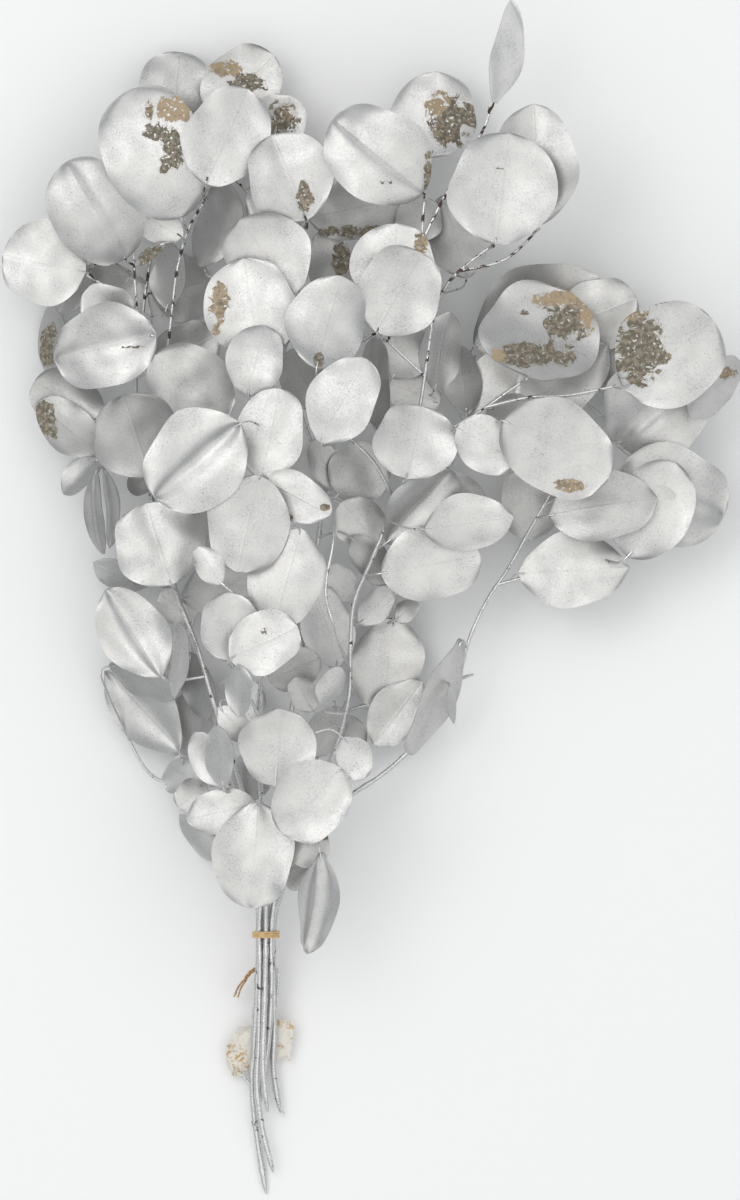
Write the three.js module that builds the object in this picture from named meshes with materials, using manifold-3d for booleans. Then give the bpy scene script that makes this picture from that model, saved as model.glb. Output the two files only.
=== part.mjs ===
// A tied bunch of round-leaved eucalyptus, painted silver, laid down flat.
// Millimetres, +Z up: the bunch lies in XY with its leafy end towards +Y.
// Plan points are read in the bunch's own drawing plane, whose zero is near its middle.
import * as THREE from "three";
import { mergeVertices } from "three/addons/utils/BufferGeometryUtils.js";
import Module from "manifold-3d";

const wasm = await Module();
wasm.setup();

// The tie: eight stems side by side in an elastic band.
const TIE_X = -58;
const TIE_Y = -186.4;
const TIE_Z = 22;
const STEM_RADIUS = 1.7;
const RING_RADIUS = 4.4;
const BAND_INNER = 6.5;
const BAND_OUTER = 7.6;
const BAND_HEIGHT = 4.5;
const BAND_ROUNDING = 0.3;
const TIED_LENGTH = 10;
const TIE_SPREAD = 1.6;
const FAN_END = TIE_Y + 42;
const LOWEST_LEAF = FAN_END - 15;

// Leaves and twigs.
const BLADE_THICKNESS = 0.8;
const TWIG_RADIUS = 1.0;
const TIP_RADIUS = 0.7;
const STEM_TIP_RADIUS = 0.8;
const PETIOLE_RADIUS = 0.8;
const PETIOLE_END = 0.32;
const PETIOLE_SINK = 3.5;
const PETIOLE_BEND = 0.4;
const STEP_BACK = 3;
const LEAST_STAND = 2;
const STAND_SPREAD = 4;
const END_ANGLE = 0.2;
const BLADE_ROWS = 5;
const ROUNDEST = 1.12;
const NARROWEST = 0.62;
const MOST_ROLL = 0.9;
const SLENDER = 1.35;
const SLENDER_TAPER = 0.3;
const ROOT_TAPER = [0.88, 1.28];
const TIP_TAPER = [0.76, 1.1];
const POINTED_TAPER = 0.55;
const SWAY = 0.12;
const FULL_TURN = 6.28;
const FOLD = 0.07;
const FOLD_BIAS = 0.3;
const CUP = 0.16;
const BOW = 0.1;
const WAVE = 0.05;
const UNEVEN_EDGE = 0.05;
const UNEVEN_WIDTH = 0.03;

// Layers: each stem lies above the ones before it.
const CELL = 2.5;
const CELL_SHIFT = 0.137;
const GAP = 0.9;
const STEEPEST = 0.55;
const SAMPLE = 2.4;
const FINE = 4;
const STATION = 6;

// Each stem from the back to the front. angle: its place in the tie, in degrees, or null in the
// middle. cut: the bare end below the tie, from its tip. fan: the main stem above the tie. height:
// how high its top end lies. A point of a fan or twig may hold its own height, where the stem
// arches. A leaf is [base x, base y, tip x, tip y, width seen] and "flat" where the bunch rests
// on it, or "pointed" for a pointed tip.
const STEMS = [
  {
    name: "stem_back_left",
    angle: 244.3,
    height: 14,
    cut: [[-61.6, -262, 7.6], [-61.3, -245, 10.6], [-60, -215, 15.2]],
    fan: [[-66, -150], [-74, -115], [-95, -40], [-118, 40], [-130, 110], [-125, 170], [-114, 235]],
    twigs: [
      [[-124, 88], [-138, 82, 22], [-150, 72, 32]],
      [[-128, 130], [-146, 124], [-165, 118]],
      [[-79, -98], [-92, -104], [-105, -104], [-116, -102], [-130, -90], [-136, -75]],
    ],
    leaves: [
      [-124, 150, -158, 166, 40, "flat"],
      [-113, 30, -86, 52, 42],
      [-120, 60, -92, 80, 44],
      [-122, 170, -88, 176, 40],
      [-86, -70, -62, -48, 30],
      [-110, 260, -106, 303, 42],
      [-112, 160, -110, 197, 18],
      [-133, 180, -158, 182, 14],
      [-176, 122, -177, 164, 14],
      [-150, 98, -186, 120, 34],
      [-150, 81, -184, 109, 26],
      [-150, 78, -170, 58, 16],
      [-152, 70, -148, 25, 10],
      [-147, 72, -144, 28, 9],
      [-122, 8, -154, 20, 18, "pointed"],
      [-122, 68, -134, 60, 14],
      [-98, -12, -117, 3, 20],
      [-99, -52, -106, -90, 20],
      [-98, -104, -111, -92, 24],
      [-83, -147, -106, -120, 15, "pointed"],
      [-106, -84, -147, -40, 34, "pointed"],
      [-100, -30, -91, -67, 17],
      [-120, 128, -86, 146, 32],
      [-104, 0, -66, 12, 28],
      [-144, -36, -108, -54, 20],
      [-92, -102, -106, -116, 18],
      [-156, 184, -172, 158, 18],
    ],
  },
  {
    name: "stem_back_right",
    angle: 295.7,
    height: 16,
    cut: [[-57.3, -258, 8.4], [-57, -245, 10.6], [-56.4, -215, 15.2]],
    fan: [[-48, -150], [-38, -110], [-5, -40], [25, 30], [50, 85], [75, 107], [110, 112], [139, 119],
      [170, 122]],
    twigs: [
      [[50, 86], [54, 110], [58, 135]],
      [[92, 111], [102, 128], [110, 145]],
      [[28, 38], [58, 40], [88, 35]],
      [[-13, -58], [8, -56], [26, -50]],
      [[118, 113], [130, 106], [138, 94]],
    ],
    leaves: [
      [84, 122, 102, 160, 40, "flat"],
      [28, 40, 62, 60, 40],
      [130, 116, 158, 136, 40],
      [110, 120, 136, 146, 36],
      [58, 141, 131, 172, 58],
      [108, 150, 147, 166, 40],
      [52, 98, 100, 135, 46],
      [80, 100, 130, 140, 40],
      [53, 102, 48, 140, 20],
      [136, 86, 178, 122, 58],
      [182, 124, 199, 110, 42],
      [90, 33, 87, 72, 34],
      [13, -12, 6, -62, 40],
      [28, -46, 2, -81, 30],
      [14, -12, 26, -2, 12],
      [-24, -84, -4, -70, 24],
      [66, 106, 92, 86, 34],
    ],
  },
  {
    name: "stem_back_centre",
    angle: null,
    height: 30,
    cut: [[-58.3, -214, 19.4], [-58.1, -205, 20.9]],
    fan: [[-54, -142], [-50, -100], [-35, -10], [-25, 60], [-12, 130], [0, 180], [15, 212], [30, 235]],
    twigs: [
      [[-23, 74], [-38, 100], [-48, 140], [-58, 185], [-68, 228]],
      [[-9, 145], [20, 158], [45, 172]],
      [[-37, -22], [-20, -16], [-8, -10]],
      [[-15, 115], [8, 116], [34, 112]],
    ],
    leaves: [
      [-36, -20, -62, 2, 38],
      [-26, 60, -56, 76, 40],
      [-2, 178, 26, 176, 34],
      [-62, 205, -40, 236, 36],
      [-89, 268, -54, 301, 42],
      [-62, 240, -44, 278, 34],
      [-94, 184, -79, 231, 25],
      [-20, 165, -25, 205, 26],
      [20, 222, -34, 210, 36],
      [34, 245, 36, 292, 48],
      [54, 178, 40, 223, 34],
      [38, 108, 8, 120, 24],
      [12, 122, 26, 150, 28],
      [36, 115, 44, 158, 22],
      [-20, 60, -31, 88, 18],
      [-18, 57, 6, 83, 34],
      [-16, 53, 5, 30, 28],
      [-10, 0, -25, 18, 18],
      [-18, -38, -32, 8, 28],
      [-6, -14, 12, 6, 16],
      [-28, -33, -56, -45, 24],
      [-72, -112, -60, -84, 24],
      [-30, 104, -44, 138, 26],
      [4, 92, 2, 144, 20],
      [24, 198, 30, 222, 26],
      [-18, -60, -32, -88, 20],
      [-10, 34, 10, 8, 20],
    ],
  },
  {
    name: "stem_left",
    angle: 192.9,
    height: 45,
    cut: [[-58, -331, 1.75], [-63, -300, 4], [-66, -270, 7.8], [-64, -240, 12.6], [-62.9, -212, 17.6]],
    fan: [[-64, -148], [-70, -110], [-86, -60], [-98, -20], [-109, 8], [-118, 60], [-117, 105],
      [-112, 140], [-108, 175], [-104, 195], [-98, 210], [-90, 222]],
    twigs: [
      [[-114, 128], [-127, 147], [-130, 170], [-131, 192]],
      [[-130, 162], [-146, 172], [-157, 179]],
      [[-92, -41], [-102, -48], [-112, -46]],
      [[-118, 82], [-98, 92], [-82, 99]],
    ],
    leaves: [
      [-104, 200, -131, 214, 20],
      [-113, 197, -130, 184, 6],
      [-158, 181, -203, 190, 48],
      [-136, 188, -168, 241, 50],
      [-105, 211, -131, 281, 60],
      [-91, 229, -68, 281, 46],
      [-132, 154, -159, 168, 26],
      [-119, 146, -174, 132, 46],
      [-79, 101, -119, 134, 42],
      [-122, 68, -136, 112, 48],
      [-110, 8, -124, 52, 50],
      [-108, -55, -105, -14, 10],
      [-116, -43, -146, 5, 38],
    ],
  },
  {
    name: "stem_right",
    angle: 347.1,
    height: 40,
    cut: [[-50, -286, 4.6], [-53.6, -270, 7], [-53.4, -240, 12.4], [-53.5, -212, 17.6]],
    fan: [[-40, -144], [-23, -120], [-12, -110], [0, -102], [10, -95], [20, -86], [27, -78],
      [35, -66], [44, -50], [50, -42], [53, -27], [60, -12], [64, -2], [69, 12], [80, 20], [83, 30],
      [90, 40], [97, 46], [101, 60]],
    twigs: [
      [[70, 13], [82, 10], [104, 18], [132, 23]],
      [[100, 54], [116, 62], [134, 68]],
      [[50, -43], [57, -42]],
    ],
    leaves: [
      [50, -23, 22, -86, 21],
      [44, -47, 46, -69, 5, "pointed"],
      [82, 14, 143, 17, 43, "pointed"],
      [138, 70, 195, 45, 56],
      [143, 23, 168, 75, 46],
      [99, 46, 158, 55, 40],
    ],
  },
  {
    name: "stem_centre",
    angle: 141.4,
    height: 60,
    cut: [[-54, -319, 7], [-59, -300, 10.2], [-63, -275, 13.6], [-62, -248, 16.6], [-61.5, -212, 21.6]],
    fan: [[-59, -146], [-60, -120], [-62, -60, 50], [-55, -10, 72], [-52, 50, 90], [-60, 100, 72],
      [-61, 130, 62]],
    twigs: [
      [[-60, 104], [-48, 135, 64], [-40, 165, 60], [-36, 205, 60]],
      [[-62, -62], [-70, -48, 78], [-76, -36, 96]],
    ],
    leaves: [
      [-36, 209, -38, 172, 8],
      [-35, 209, -54, 255, 48],
      [-41, 168, -72, 208, 48],
      [-61, 132, -70, 187, 52],
      [-68, 112, -58, 150, 32],
      [-60, 66, -50, 115, 38],
      [-59, 66, -22, 46, 26],
      [-38, 38, -54, -17, 42],
      [-61, 67, -73, 15, 46],
      [-72, 96, -118, 56, 54],
      [-82, 8, -95, 28, 16],
      [-76, -34, -78, 3, 34],
      [-77, -32, -40, -16, 34],
      [-84, -60, -66, -78, 16],
      [-72, -36, -72, -65, 15],
    ],
  },
  {
    name: "stem_centre_right",
    angle: 38.6,
    height: 84,
    cut: [[-62.5, -284, 8.8], [-60, -270, 9.8], [-56.5, -245, 15], [-54.8, -212, 21.2]],
    fan: [[-46, -144], [-22, -90], [-17, -75], [-12, -60], [-12, -40], [-10, -15], [-8, 5], [0, 20],
      [8, 35], [12, 55], [20, 68], [28, 110], [34, 150], [40, 173], [56, 182], [69, 196]],
    twigs: [
      [[-12, -35], [-20, -15], [-25, 0], [-22, 12], [-20, 40]],
      [[12, 58], [0, 78], [-14, 92], [-28, 108], [-30, 121]],
      [[21, 74], [36, 88], [50, 96], [60, 103], [70, 110], [86, 121]],
      [[66, 107], [80, 110], [110, 112], [125, 113], [139, 118]],
      [[34, 152], [31, 180], [28, 203], [33, 215], [30, 223]],
      [[29, 203], [40, 220], [48, 235], [56, 245], [63, 260], [66, 272]],
      [[55, 182], [70, 186], [80, 188], [87, 193], [93, 204]],
      [[24, 80], [38, 87], [50, 92], [72, 97]],
      [[31, 126], [16, 138], [6, 145]],
    ],
    leaves: [
      [12, 160, 14, 206, 48],
      [29, 224, -20, 264, 52],
      [92, 206, 90, 272, 46],
      [69, 195, 76, 255, 60],
      [68, 273, 77, 330, 18, "pointed"],
      [3, 147, 28, 190, 46],
      [-30, 127, -16, 177, 44],
      [-28, 86, -2, 131, 38],
      [9, 31, 46, 70, 32],
      [20, 66, 28, 104, 46],
      [6, 14, 60, 24, 42],
      [30, 38, 79, 45, 32, "pointed"],
      [48, 94, 80, 75, 30],
      [74, 98, 131, 67, 51],
      [87, 122, 101, 172, 66],
      [140, 116, 188, 153, 59],
      [-32, -62, -42, -44, 16],
      [-28, -58, -16, -38, 14],
    ],
  },
  {
    name: "stem_low",
    angle: 90,
    height: 92,
    cut: [[-57, -285, 14.5], [-59.6, -262, 18.2], [-58.4, -212, 24.2]],
    fan: [[-56, -142], [-50, -110], [-40, -75]],
    twigs: [
      [[-56, -138], [-64, -116], [-79, -105]],
      [[-54, -130], [-36, -122], [-20, -115], [-14, -104]],
    ],
    leaves: [
      [-33, -146, -45, -160, 14],
      [-32, -131, -50, -144, 18],
      [-26, -127, -42, -146, 22],
      [-27, -140, -35, -195, 22, "pointed"],
      [-63, -113, -101, -122, 26],
      [-62, -113, -66, -170, 45],
      [-82, -104, -97, -74, 20],
      [-81, -103, -84, -70, 15],
      [-14, -76, -4, -99, 20],
      [-49, -61, -52, -103, 43],
      [-17, -93, -48, -129, 42],
    ],
  },
];

// The twine's tail comes out from under the stems just below the band.
const TWINE_RADIUS = 1.1;
const TWINE_END_RADIUS = 1.43;
const TWINE = [[-56, -203.5, 13.6], [-61, -204.5, 13.5], [-66.5, -207.5, 14.6], [-70, -212, 14],
  [-73, -216, 12], [-75, -221, 9]];

// The scrap of wrapping paper lies crumpled under the bare stems.
const PAPER_THICKNESS = 0.7;
const PAPER_SLOPE = 0.16;
const PAPER_LEVEL = 4.8;
const PAPER_LEVEL_Y = -262;
const CRUMPLE_ALONG = 0.6;
const CRUMPLE_ACROSS = 0.4;
const PAPER = [[-42, -235], [-45, -257], [-49, -254], [-52, -258], [-58, -255], [-64, -259],
  [-68, -261], [-72, -266], [-77, -265], [-79, -261], [-81, -251], [-77, -245], [-73, -238],
  [-66, -237], [-59, -239], [-52, -234]];

// A repeatable draw between 0 and 1.
function draw(number) {
  const s = Math.sin(number * 12.9898) * 43758.5453;
  return s - Math.floor(s);
}

// The height grid: the top of all that is laid so far, by square cell of the plan.
const CROSS = [[0, 0], [1, 0], [-1, 0], [0, 1], [0, -1]];
const KEY_STEP = 1000;

function makeGrid() {
  return new Map();
}

function cellOf(value) {
  return Math.floor((value + CELL_SHIFT) / CELL);
}

function markTop(grid, x, y, top) {
  const key = cellOf(x) * KEY_STEP + cellOf(y);
  const old = grid.get(key);
  if (old === undefined || top > old) grid.set(key, top);
}

function topAround(grid, x, y) {
  let top = -GAP;
  for (const [i, j] of CROSS) {
    const found = grid.get((cellOf(x) + i) * KEY_STEP + cellOf(y) + j);
    if (found !== undefined && found > top) top = found;
  }
  return top;
}

// A smooth line through the points given, cut in equal short steps, as [x, y, z] rows.
function smoothLine(points, spacing) {
  const line = [];
  for (let i = 0; i + 1 < points.length; i++) {
    const a = points[Math.max(i - 1, 0)];
    const b = points[i];
    const c = points[i + 1];
    const d = points[Math.min(i + 2, points.length - 1)];
    const steps = Math.max(1, Math.round(Math.hypot(c[0] - b[0], c[1] - b[1]) / spacing));
    for (let k = 0; k < steps; k++) {
      const t = k / steps;
      line.push(b.map((_, n) => 0.5 * (2 * b[n] + (c[n] - a[n]) * t
        + (2 * a[n] - 5 * b[n] + 4 * c[n] - d[n]) * t * t
        + (3 * b[n] - a[n] - 3 * c[n] + d[n]) * t * t * t)));
    }
  }
  line.push([...points[points.length - 1]]);
  return line;
}

// Lifts a line over what lies under it, in slopes that a twig can take.
function liftLine(line, grid, radius, free) {
  const need = line.map(([x, y, z], i) => (free(i) ? z
    : Math.max(z, topAround(grid, x, y) + GAP + radius)));
  const along = [0];
  for (let i = 1; i < line.length; i++) {
    along.push(along[i - 1] + Math.hypot(line[i][0] - line[i - 1][0], line[i][1] - line[i - 1][1]));
  }
  line.forEach((point, i) => {
    if (free(i)) return;
    let z = need[i];
    for (let j = 0; j < line.length; j++) {
      z = Math.max(z, need[j] - STEEPEST * Math.abs(along[i] - along[j]));
    }
    point[2] = z;
  });
}

// The line's coarse stations, each no lower than the fine points on both sides of it.
function stationsOf(line, free) {
  const picked = [];
  for (let i = 0; i < line.length - 1; i += STATION) picked.push(i);
  if (line.length - 1 - picked[picked.length - 1] < STATION / 2 && picked.length > 1) picked.pop();
  picked.push(line.length - 1);
  return picked.map((i, n) => {
    let z = line[i][2];
    const from = n > 0 ? picked[n - 1] : i;
    const to = n + 1 < picked.length ? picked[n + 1] : i;
    if (!free(i)) for (let j = from; j <= to; j++) z = Math.max(z, line[j][2] - 1);
    return [line[i][0], line[i][1], z];
  });
}

// The points between the stations, for what is laid over a bar or grows from it.
function between(stations) {
  const points = [];
  for (let i = 0; i + 1 < stations.length; i++) {
    for (let k = 0; k < STATION; k++) {
      points.push(stations[i].map((value, n) => value + ((stations[i + 1][n] - value) * k) / STATION));
    }
  }
  points.push(stations[stations.length - 1]);
  return points;
}

function markLine(grid, line, radius) {
  for (let i = 0; i + 1 < line.length; i++) {
    for (const t of [0, 0.5]) {
      const at = line[i].map((value, n) => value + (line[i + 1][n] - value) * t);
      markTop(grid, at[0], at[1], at[2] + radius);
    }
  }
}

// A leaf's frame and form, from what is seen of it: narrow ones are rolled away from flat.
function leafForm(row, number) {
  const [baseX, baseY, tipX, tipY, seen, kind] = row;
  const planLength = Math.hypot(tipX - baseX, tipY - baseY);
  const length = Math.max(planLength, seen / ROUNDEST);
  const width = Math.max(seen, Math.min(NARROWEST * length, seen / Math.cos(MOST_ROLL)));
  const still = kind === "flat" ? 0 : 1;
  const about = (k) => 2 * draw(number * 7 + k) - 1;
  const slender = length > SLENDER * width ? SLENDER_TAPER : 0;
  const taperOf = ([least, most], k) => slender + least + (most - least) * draw(number * 7 + k);
  const aX = (tipX - baseX) / planLength;
  const aY = (tipY - baseY) / planLength;
  const outward = aY * (baseX - TIE_X) > 0 ? -1 : 1;
  const roll = still * (outward * Math.acos(seen / width) + SWAY * about(2));
  const pitch = still * (SWAY * about(4) - Math.acos(planLength / length));
  const along = [aX * Math.cos(pitch), aY * Math.cos(pitch), Math.sin(pitch)];
  const level = [aY, -aX, 0];
  const up = [-aX * Math.sin(pitch), -aY * Math.sin(pitch), Math.cos(pitch)];
  const across = level.map((v, n) => v * Math.cos(roll) + up[n] * Math.sin(roll));
  const normal = up.map((v, n) => v * Math.cos(roll) - level[n] * Math.sin(roll));
  return {
    base: [baseX, baseY, 0],
    along,
    across,
    normal,
    length,
    width,
    rootTaper: taperOf(ROOT_TAPER, 8),
    tipTaper: taperOf(TIP_TAPER, 9) + (kind === "pointed" ? POINTED_TAPER : 0),
    fold: still * FOLD * (about(5) + FOLD_BIAS),
    cup: still * CUP * about(6),
    bow: still * BOW * about(7),
    wave: still * WAVE,
    phase: FULL_TURN * draw(number * 7 + 2),
  };
}

// A point of the leaf: u from edge to edge (-1 to 1), t from base to tip (0 to 1), and
// off its middle surface by rise.
function leafPoint(leaf, u, t, rise) {
  const angle = END_ANGLE + (Math.PI - 2 * END_ANGLE) * t;
  const v = (Math.cos(END_ANGLE) - Math.cos(angle)) / (2 * Math.cos(END_ANGLE));
  const uneven = 1 + UNEVEN_EDGE * Math.sin(3 * angle + leaf.phase) * u
    + UNEVEN_WIDTH * Math.cos(5 * angle);
  const taper = leaf.rootTaper + (leaf.tipTaper - leaf.rootTaper) * t;
  const x = u * Math.pow(Math.sin(angle), taper) * uneven * leaf.width / 2;
  const half = leaf.width / 2;
  const lift = leaf.fold * Math.abs(x) + leaf.cup * x * x / half
    + leaf.bow * leaf.length * ((2 * v - 1) * (2 * v - 1) - 1)
    + leaf.wave * half * u * u * Math.sin(2 * angle + leaf.phase) + rise;
  return leaf.base.map((value, n) => value + leaf.along[n] * v * leaf.length
    + leaf.across[n] * x + leaf.normal[n] * lift);
}

function leafSamples(leaf) {
  const rows = Math.ceil(leaf.length / SAMPLE);
  const columns = Math.ceil(leaf.width / SAMPLE);
  const points = [];
  for (let i = 0; i <= rows; i++) {
    for (let j = 0; j <= columns; j++) points.push(leafPoint(leaf, (2 * j) / columns - 1, i / rows, 0));
  }
  return points;
}

// The nearest point of a stem's lines to a leaf's base, a little back towards the root.
function attachPoint(lines, x, y) {
  let best = null;
  let least = Infinity;
  for (const line of lines) {
    for (let i = 1; i < line.length; i++) {
      const away = Math.hypot(line[i][0] - x, line[i][1] - y);
      if (line[i][1] < LOWEST_LEAF || away >= least) continue;
      least = away;
      let k = i;
      let back = 0;
      while (k > 0 && back < STEP_BACK) {
        back += Math.hypot(line[k][0] - line[k - 1][0], line[k][1] - line[k - 1][1]);
        k -= 1;
      }
      best = line[k];
    }
  }
  return best;
}

// The petiole's stations from the stem to just inside the blade.
function petioleLine(from, leaf, grid, leaves) {
  const base = leaf.base;
  const reach = Math.hypot(base[0] - from[0], base[1] - from[1]);
  const bend = base.map((value, n) => value - leaf.along[n] * PETIOLE_BEND * reach);
  const open = topAround(leaves, from[0], from[1]) < from[2];
  const fineSteps = 8;
  const fine = [];
  for (let i = 0; i <= fineSteps; i++) {
    const t = i / fineSteps;
    const at = base.map((value, n) => (1 - t) * (1 - t) * from[n] + 2 * t * (1 - t) * bend[n]
      + t * t * value);
    if (i > 0) at[2] = Math.max(at[2], topAround(grid, at[0], at[1]) + GAP + PETIOLE_RADIUS);
    if (i > 1 && open) at[2] = Math.max(at[2], topAround(leaves, at[0], at[1]) + GAP / 2);
    fine.push(at);
  }
  const stations = [fine[0]];
  const middle = fineSteps / 2;
  const highest = Math.max(...fine.slice(2, 7).map((point) => point[2]));
  stations.push([fine[middle][0], fine[middle][1], highest]);
  const [start, next] = [0, 1 / BLADE_ROWS].map((t) => leafPoint(leaf, 1, t, 0)
    .map((value, n) => (value + leafPoint(leaf, -1, t, 0)[n]) / 2));
  const sink = PETIOLE_SINK / Math.hypot(...next.map((value, n) => value - start[n]));
  stations.push(start.map((value, n) => value + (next[n] - value) * sink));
  return stations;
}

// A closed solid of a geometry.
function solidOf(geometry) {
  geometry.deleteAttribute("normal");
  geometry.deleteAttribute("uv");
  const merged = mergeVertices(geometry, 1e-4);
  return new wasm.Manifold(new wasm.Mesh({
    numProp: 3,
    vertProperties: new Float32Array(merged.getAttribute("position").array),
    triVerts: new Uint32Array(merged.index.array),
  }));
}

function geometryOf(solid) {
  const mesh = solid.getMesh();
  const geometry = new THREE.BufferGeometry();
  geometry.setAttribute("position", new THREE.BufferAttribute(mesh.vertProperties, 3));
  geometry.setIndex(new THREE.BufferAttribute(mesh.triVerts, 1));
  const flat = geometry.toNonIndexed();
  flat.computeVertexNormals();
  return flat;
}

// Joins a stem's parts in one body. A hollow sealed between crossing leaves is filled.
function fused(parts) {
  const joined = parts.reduce((sum, next) => sum.add(next));
  return joined.decompose().reduce((large, next) => (next.volume() > large.volume() ? next : large));
}

// A path that turns at its stations.
class StationPath extends THREE.Curve {
  constructor(stations) {
    super();
    this.stations = stations.map((point) => new THREE.Vector3(...point));
  }

  getPoint(t, target = new THREE.Vector3()) {
    const place = Math.min(Math.max(t, 0), 1) * (this.stations.length - 1);
    const i = Math.min(Math.floor(place), this.stations.length - 2);
    return target.copy(this.stations[i]).lerp(this.stations[i + 1], place - i);
  }

  getPointAt(t, target) {
    return this.getPoint(t, target);
  }

  getTangentAt(t, target) {
    return this.getTangent(t, target);
  }
}

// A tapered round bar through the stations.
function bar(stations, fromRadius, toRadius, sides) {
  const section = new THREE.Shape();
  for (let i = 0; i < sides; i++) {
    const angle = (2 * Math.PI * i) / sides;
    const corner = [Math.cos(angle), Math.sin(angle)];
    if (i === 0) section.moveTo(...corner);
    else section.lineTo(...corner);
  }
  section.closePath();
  const path = new StationPath(stations);
  const steps = stations.length - 1;
  const geometry = new THREE.ExtrudeGeometry(section, { steps, bevelEnabled: false, extrudePath: path });
  const centres = path.getSpacedPoints(steps);
  const position = geometry.getAttribute("position");
  const point = new THREE.Vector3();
  for (let i = 0; i < position.count; i++) {
    point.fromBufferAttribute(position, i);
    let near = 0;
    centres.forEach((centre, k) => {
      if (centre.distanceTo(point) < centres[near].distanceTo(point)) near = k;
    });
    const radius = fromRadius + (toRadius - fromRadius) * Math.min(1, near / Math.max(1, steps - 1));
    point.sub(centres[near]).multiplyScalar(radius).add(centres[near]);
    position.setXYZ(i, point.x, point.y, point.z);
  }
  return solidOf(geometry);
}

// A leaf blade: a thin box bent to the leaf's form, split alike on both faces.
function blade(leaf) {
  const geometry = new THREE.BoxGeometry(2, 1, 1, 1, 1, BLADE_ROWS);
  const index = geometry.index.array;
  const underside = geometry.groups[3];
  for (let i = underside.start; i < underside.start + underside.count; i += 6) {
    const [a, b, , , c, d] = index.slice(i, i + 6);
    index.set([a, b, c, a, c, d], i);
  }
  const position = geometry.getAttribute("position");
  for (let i = 0; i < position.count; i++) {
    const rise = position.getY(i) * BLADE_THICKNESS;
    position.setXYZ(i, ...leafPoint(leaf, position.getX(i), 0.5 - position.getZ(i), rise));
  }
  return solidOf(geometry);
}

// The place of a stem in the tie.
function tiePlace(angle) {
  if (angle === null) return [TIE_X, TIE_Z];
  const radians = (angle * Math.PI) / 180;
  return [TIE_X + RING_RADIUS * Math.cos(radians), TIE_Z + RING_RADIUS * Math.sin(radians)];
}

// The main stem's line, from its cut tip through the tie to its top end.
function mainLine(stem) {
  const [x, z] = tiePlace(stem.angle);
  const tied = [[x, TIE_Y - TIED_LENGTH, z], [x, TIE_Y + TIED_LENGTH, z]];
  const lengths = [0];
  for (let i = 1; i < stem.fan.length; i++) {
    const [ax, ay] = stem.fan[i - 1];
    const [bx, by] = stem.fan[i];
    lengths.push(lengths[i - 1] + Math.hypot(bx - ax, by - ay));
  }
  const whole = lengths[lengths.length - 1];
  const start = z + (z - TIE_Z) * TIE_SPREAD;
  const rise = (stem.height - start) / whole;
  const fan = stem.fan.map(([fx, fy, fz], i) => [fx, fy, fz ?? start + rise * lengths[i]]);
  return smoothLine([...stem.cut, ...tied, ...fan], FINE);
}

const paint = new THREE.MeshStandardMaterial({ color: 0xc9cac8, roughness: 0.42, metalness: 0.6 });
const rubber = new THREE.MeshStandardMaterial({ color: 0xd2a96c, roughness: 0.6, metalness: 0 });
const jute = new THREE.MeshStandardMaterial({ color: 0xa9793f, roughness: 0.9, metalness: 0 });
const wrapping = new THREE.MeshStandardMaterial({ color: 0xe6e0d6, roughness: 0.85, metalness: 0 });

const bunch = new THREE.Group();

function addPiece(name, geometry, material) {
  const mesh = new THREE.Mesh(geometry, material);
  mesh.name = name;
  bunch.add(mesh);
  return mesh;
}

// The leafy stems, one solid each, laid from the back to the front.
const laid = makeGrid();
let leafNumber = 0;
for (const stem of STEMS) {
  const own = makeGrid();
  const main = mainLine(stem);
  const tied = (i) => main[i][1] < FAN_END;
  liftLine(main, laid, STEM_RADIUS, tied);
  const stations = stationsOf(main, tied);
  const parts = [bar(stations, STEM_RADIUS, STEM_TIP_RADIUS, 5)];
  const lines = [between(stations)];
  for (const twig of stem.twigs) {
    const root = attachPoint(lines, ...twig[0]);
    const rise = (root[2] + stem.height) / 2;
    const points = [root, ...twig.slice(1).map(([x, y, z]) => [x, y, z ?? Math.max(rise, root[2])])];
    const line = smoothLine(points, FINE);
    liftLine(line, laid, TWIG_RADIUS, (i) => i === 0);
    const twigStations = stationsOf(line, (i) => i === 0);
    lines.push(between(twigStations));
    parts.push(bar(twigStations, TWIG_RADIUS, TIP_RADIUS, 3));
  }
  for (const line of lines) markLine(own, line, STEM_RADIUS);
  const leaves = makeGrid();
  for (const row of stem.leaves) {
    leafNumber += 1;
    const leaf = leafForm(row, leafNumber);
    const from = attachPoint(lines, row[0], row[1]);
    const flat = row[5] === "flat";
    let z = flat ? 0 : from[2] + LEAST_STAND + STAND_SPREAD * draw(leafNumber);
    for (const [x, y, rise] of leafSamples(leaf)) {
      const under = flat ? -GAP : Math.max(topAround(laid, x, y), topAround(own, x, y));
      z = Math.max(z, under + GAP + BLADE_THICKNESS / 2 - rise);
    }
    leaf.base[2] = z;
    const petiole = petioleLine(from, leaf, laid, leaves);
    for (const [x, y, top] of leafSamples(leaf)) {
      markTop(own, x, y, top + BLADE_THICKNESS / 2);
      markTop(leaves, x, y, top + BLADE_THICKNESS / 2);
    }
    markLine(own, petiole, PETIOLE_RADIUS);
    parts.push(bar(petiole, PETIOLE_RADIUS, PETIOLE_END, 3));
    parts.push(blade(leaf));
  }
  for (const [key, top] of own) {
    const old = laid.get(key);
    if (old === undefined || top > old) laid.set(key, top);
  }
  addPiece(stem.name, geometryOf(fused(parts)), paint);
}

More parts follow.
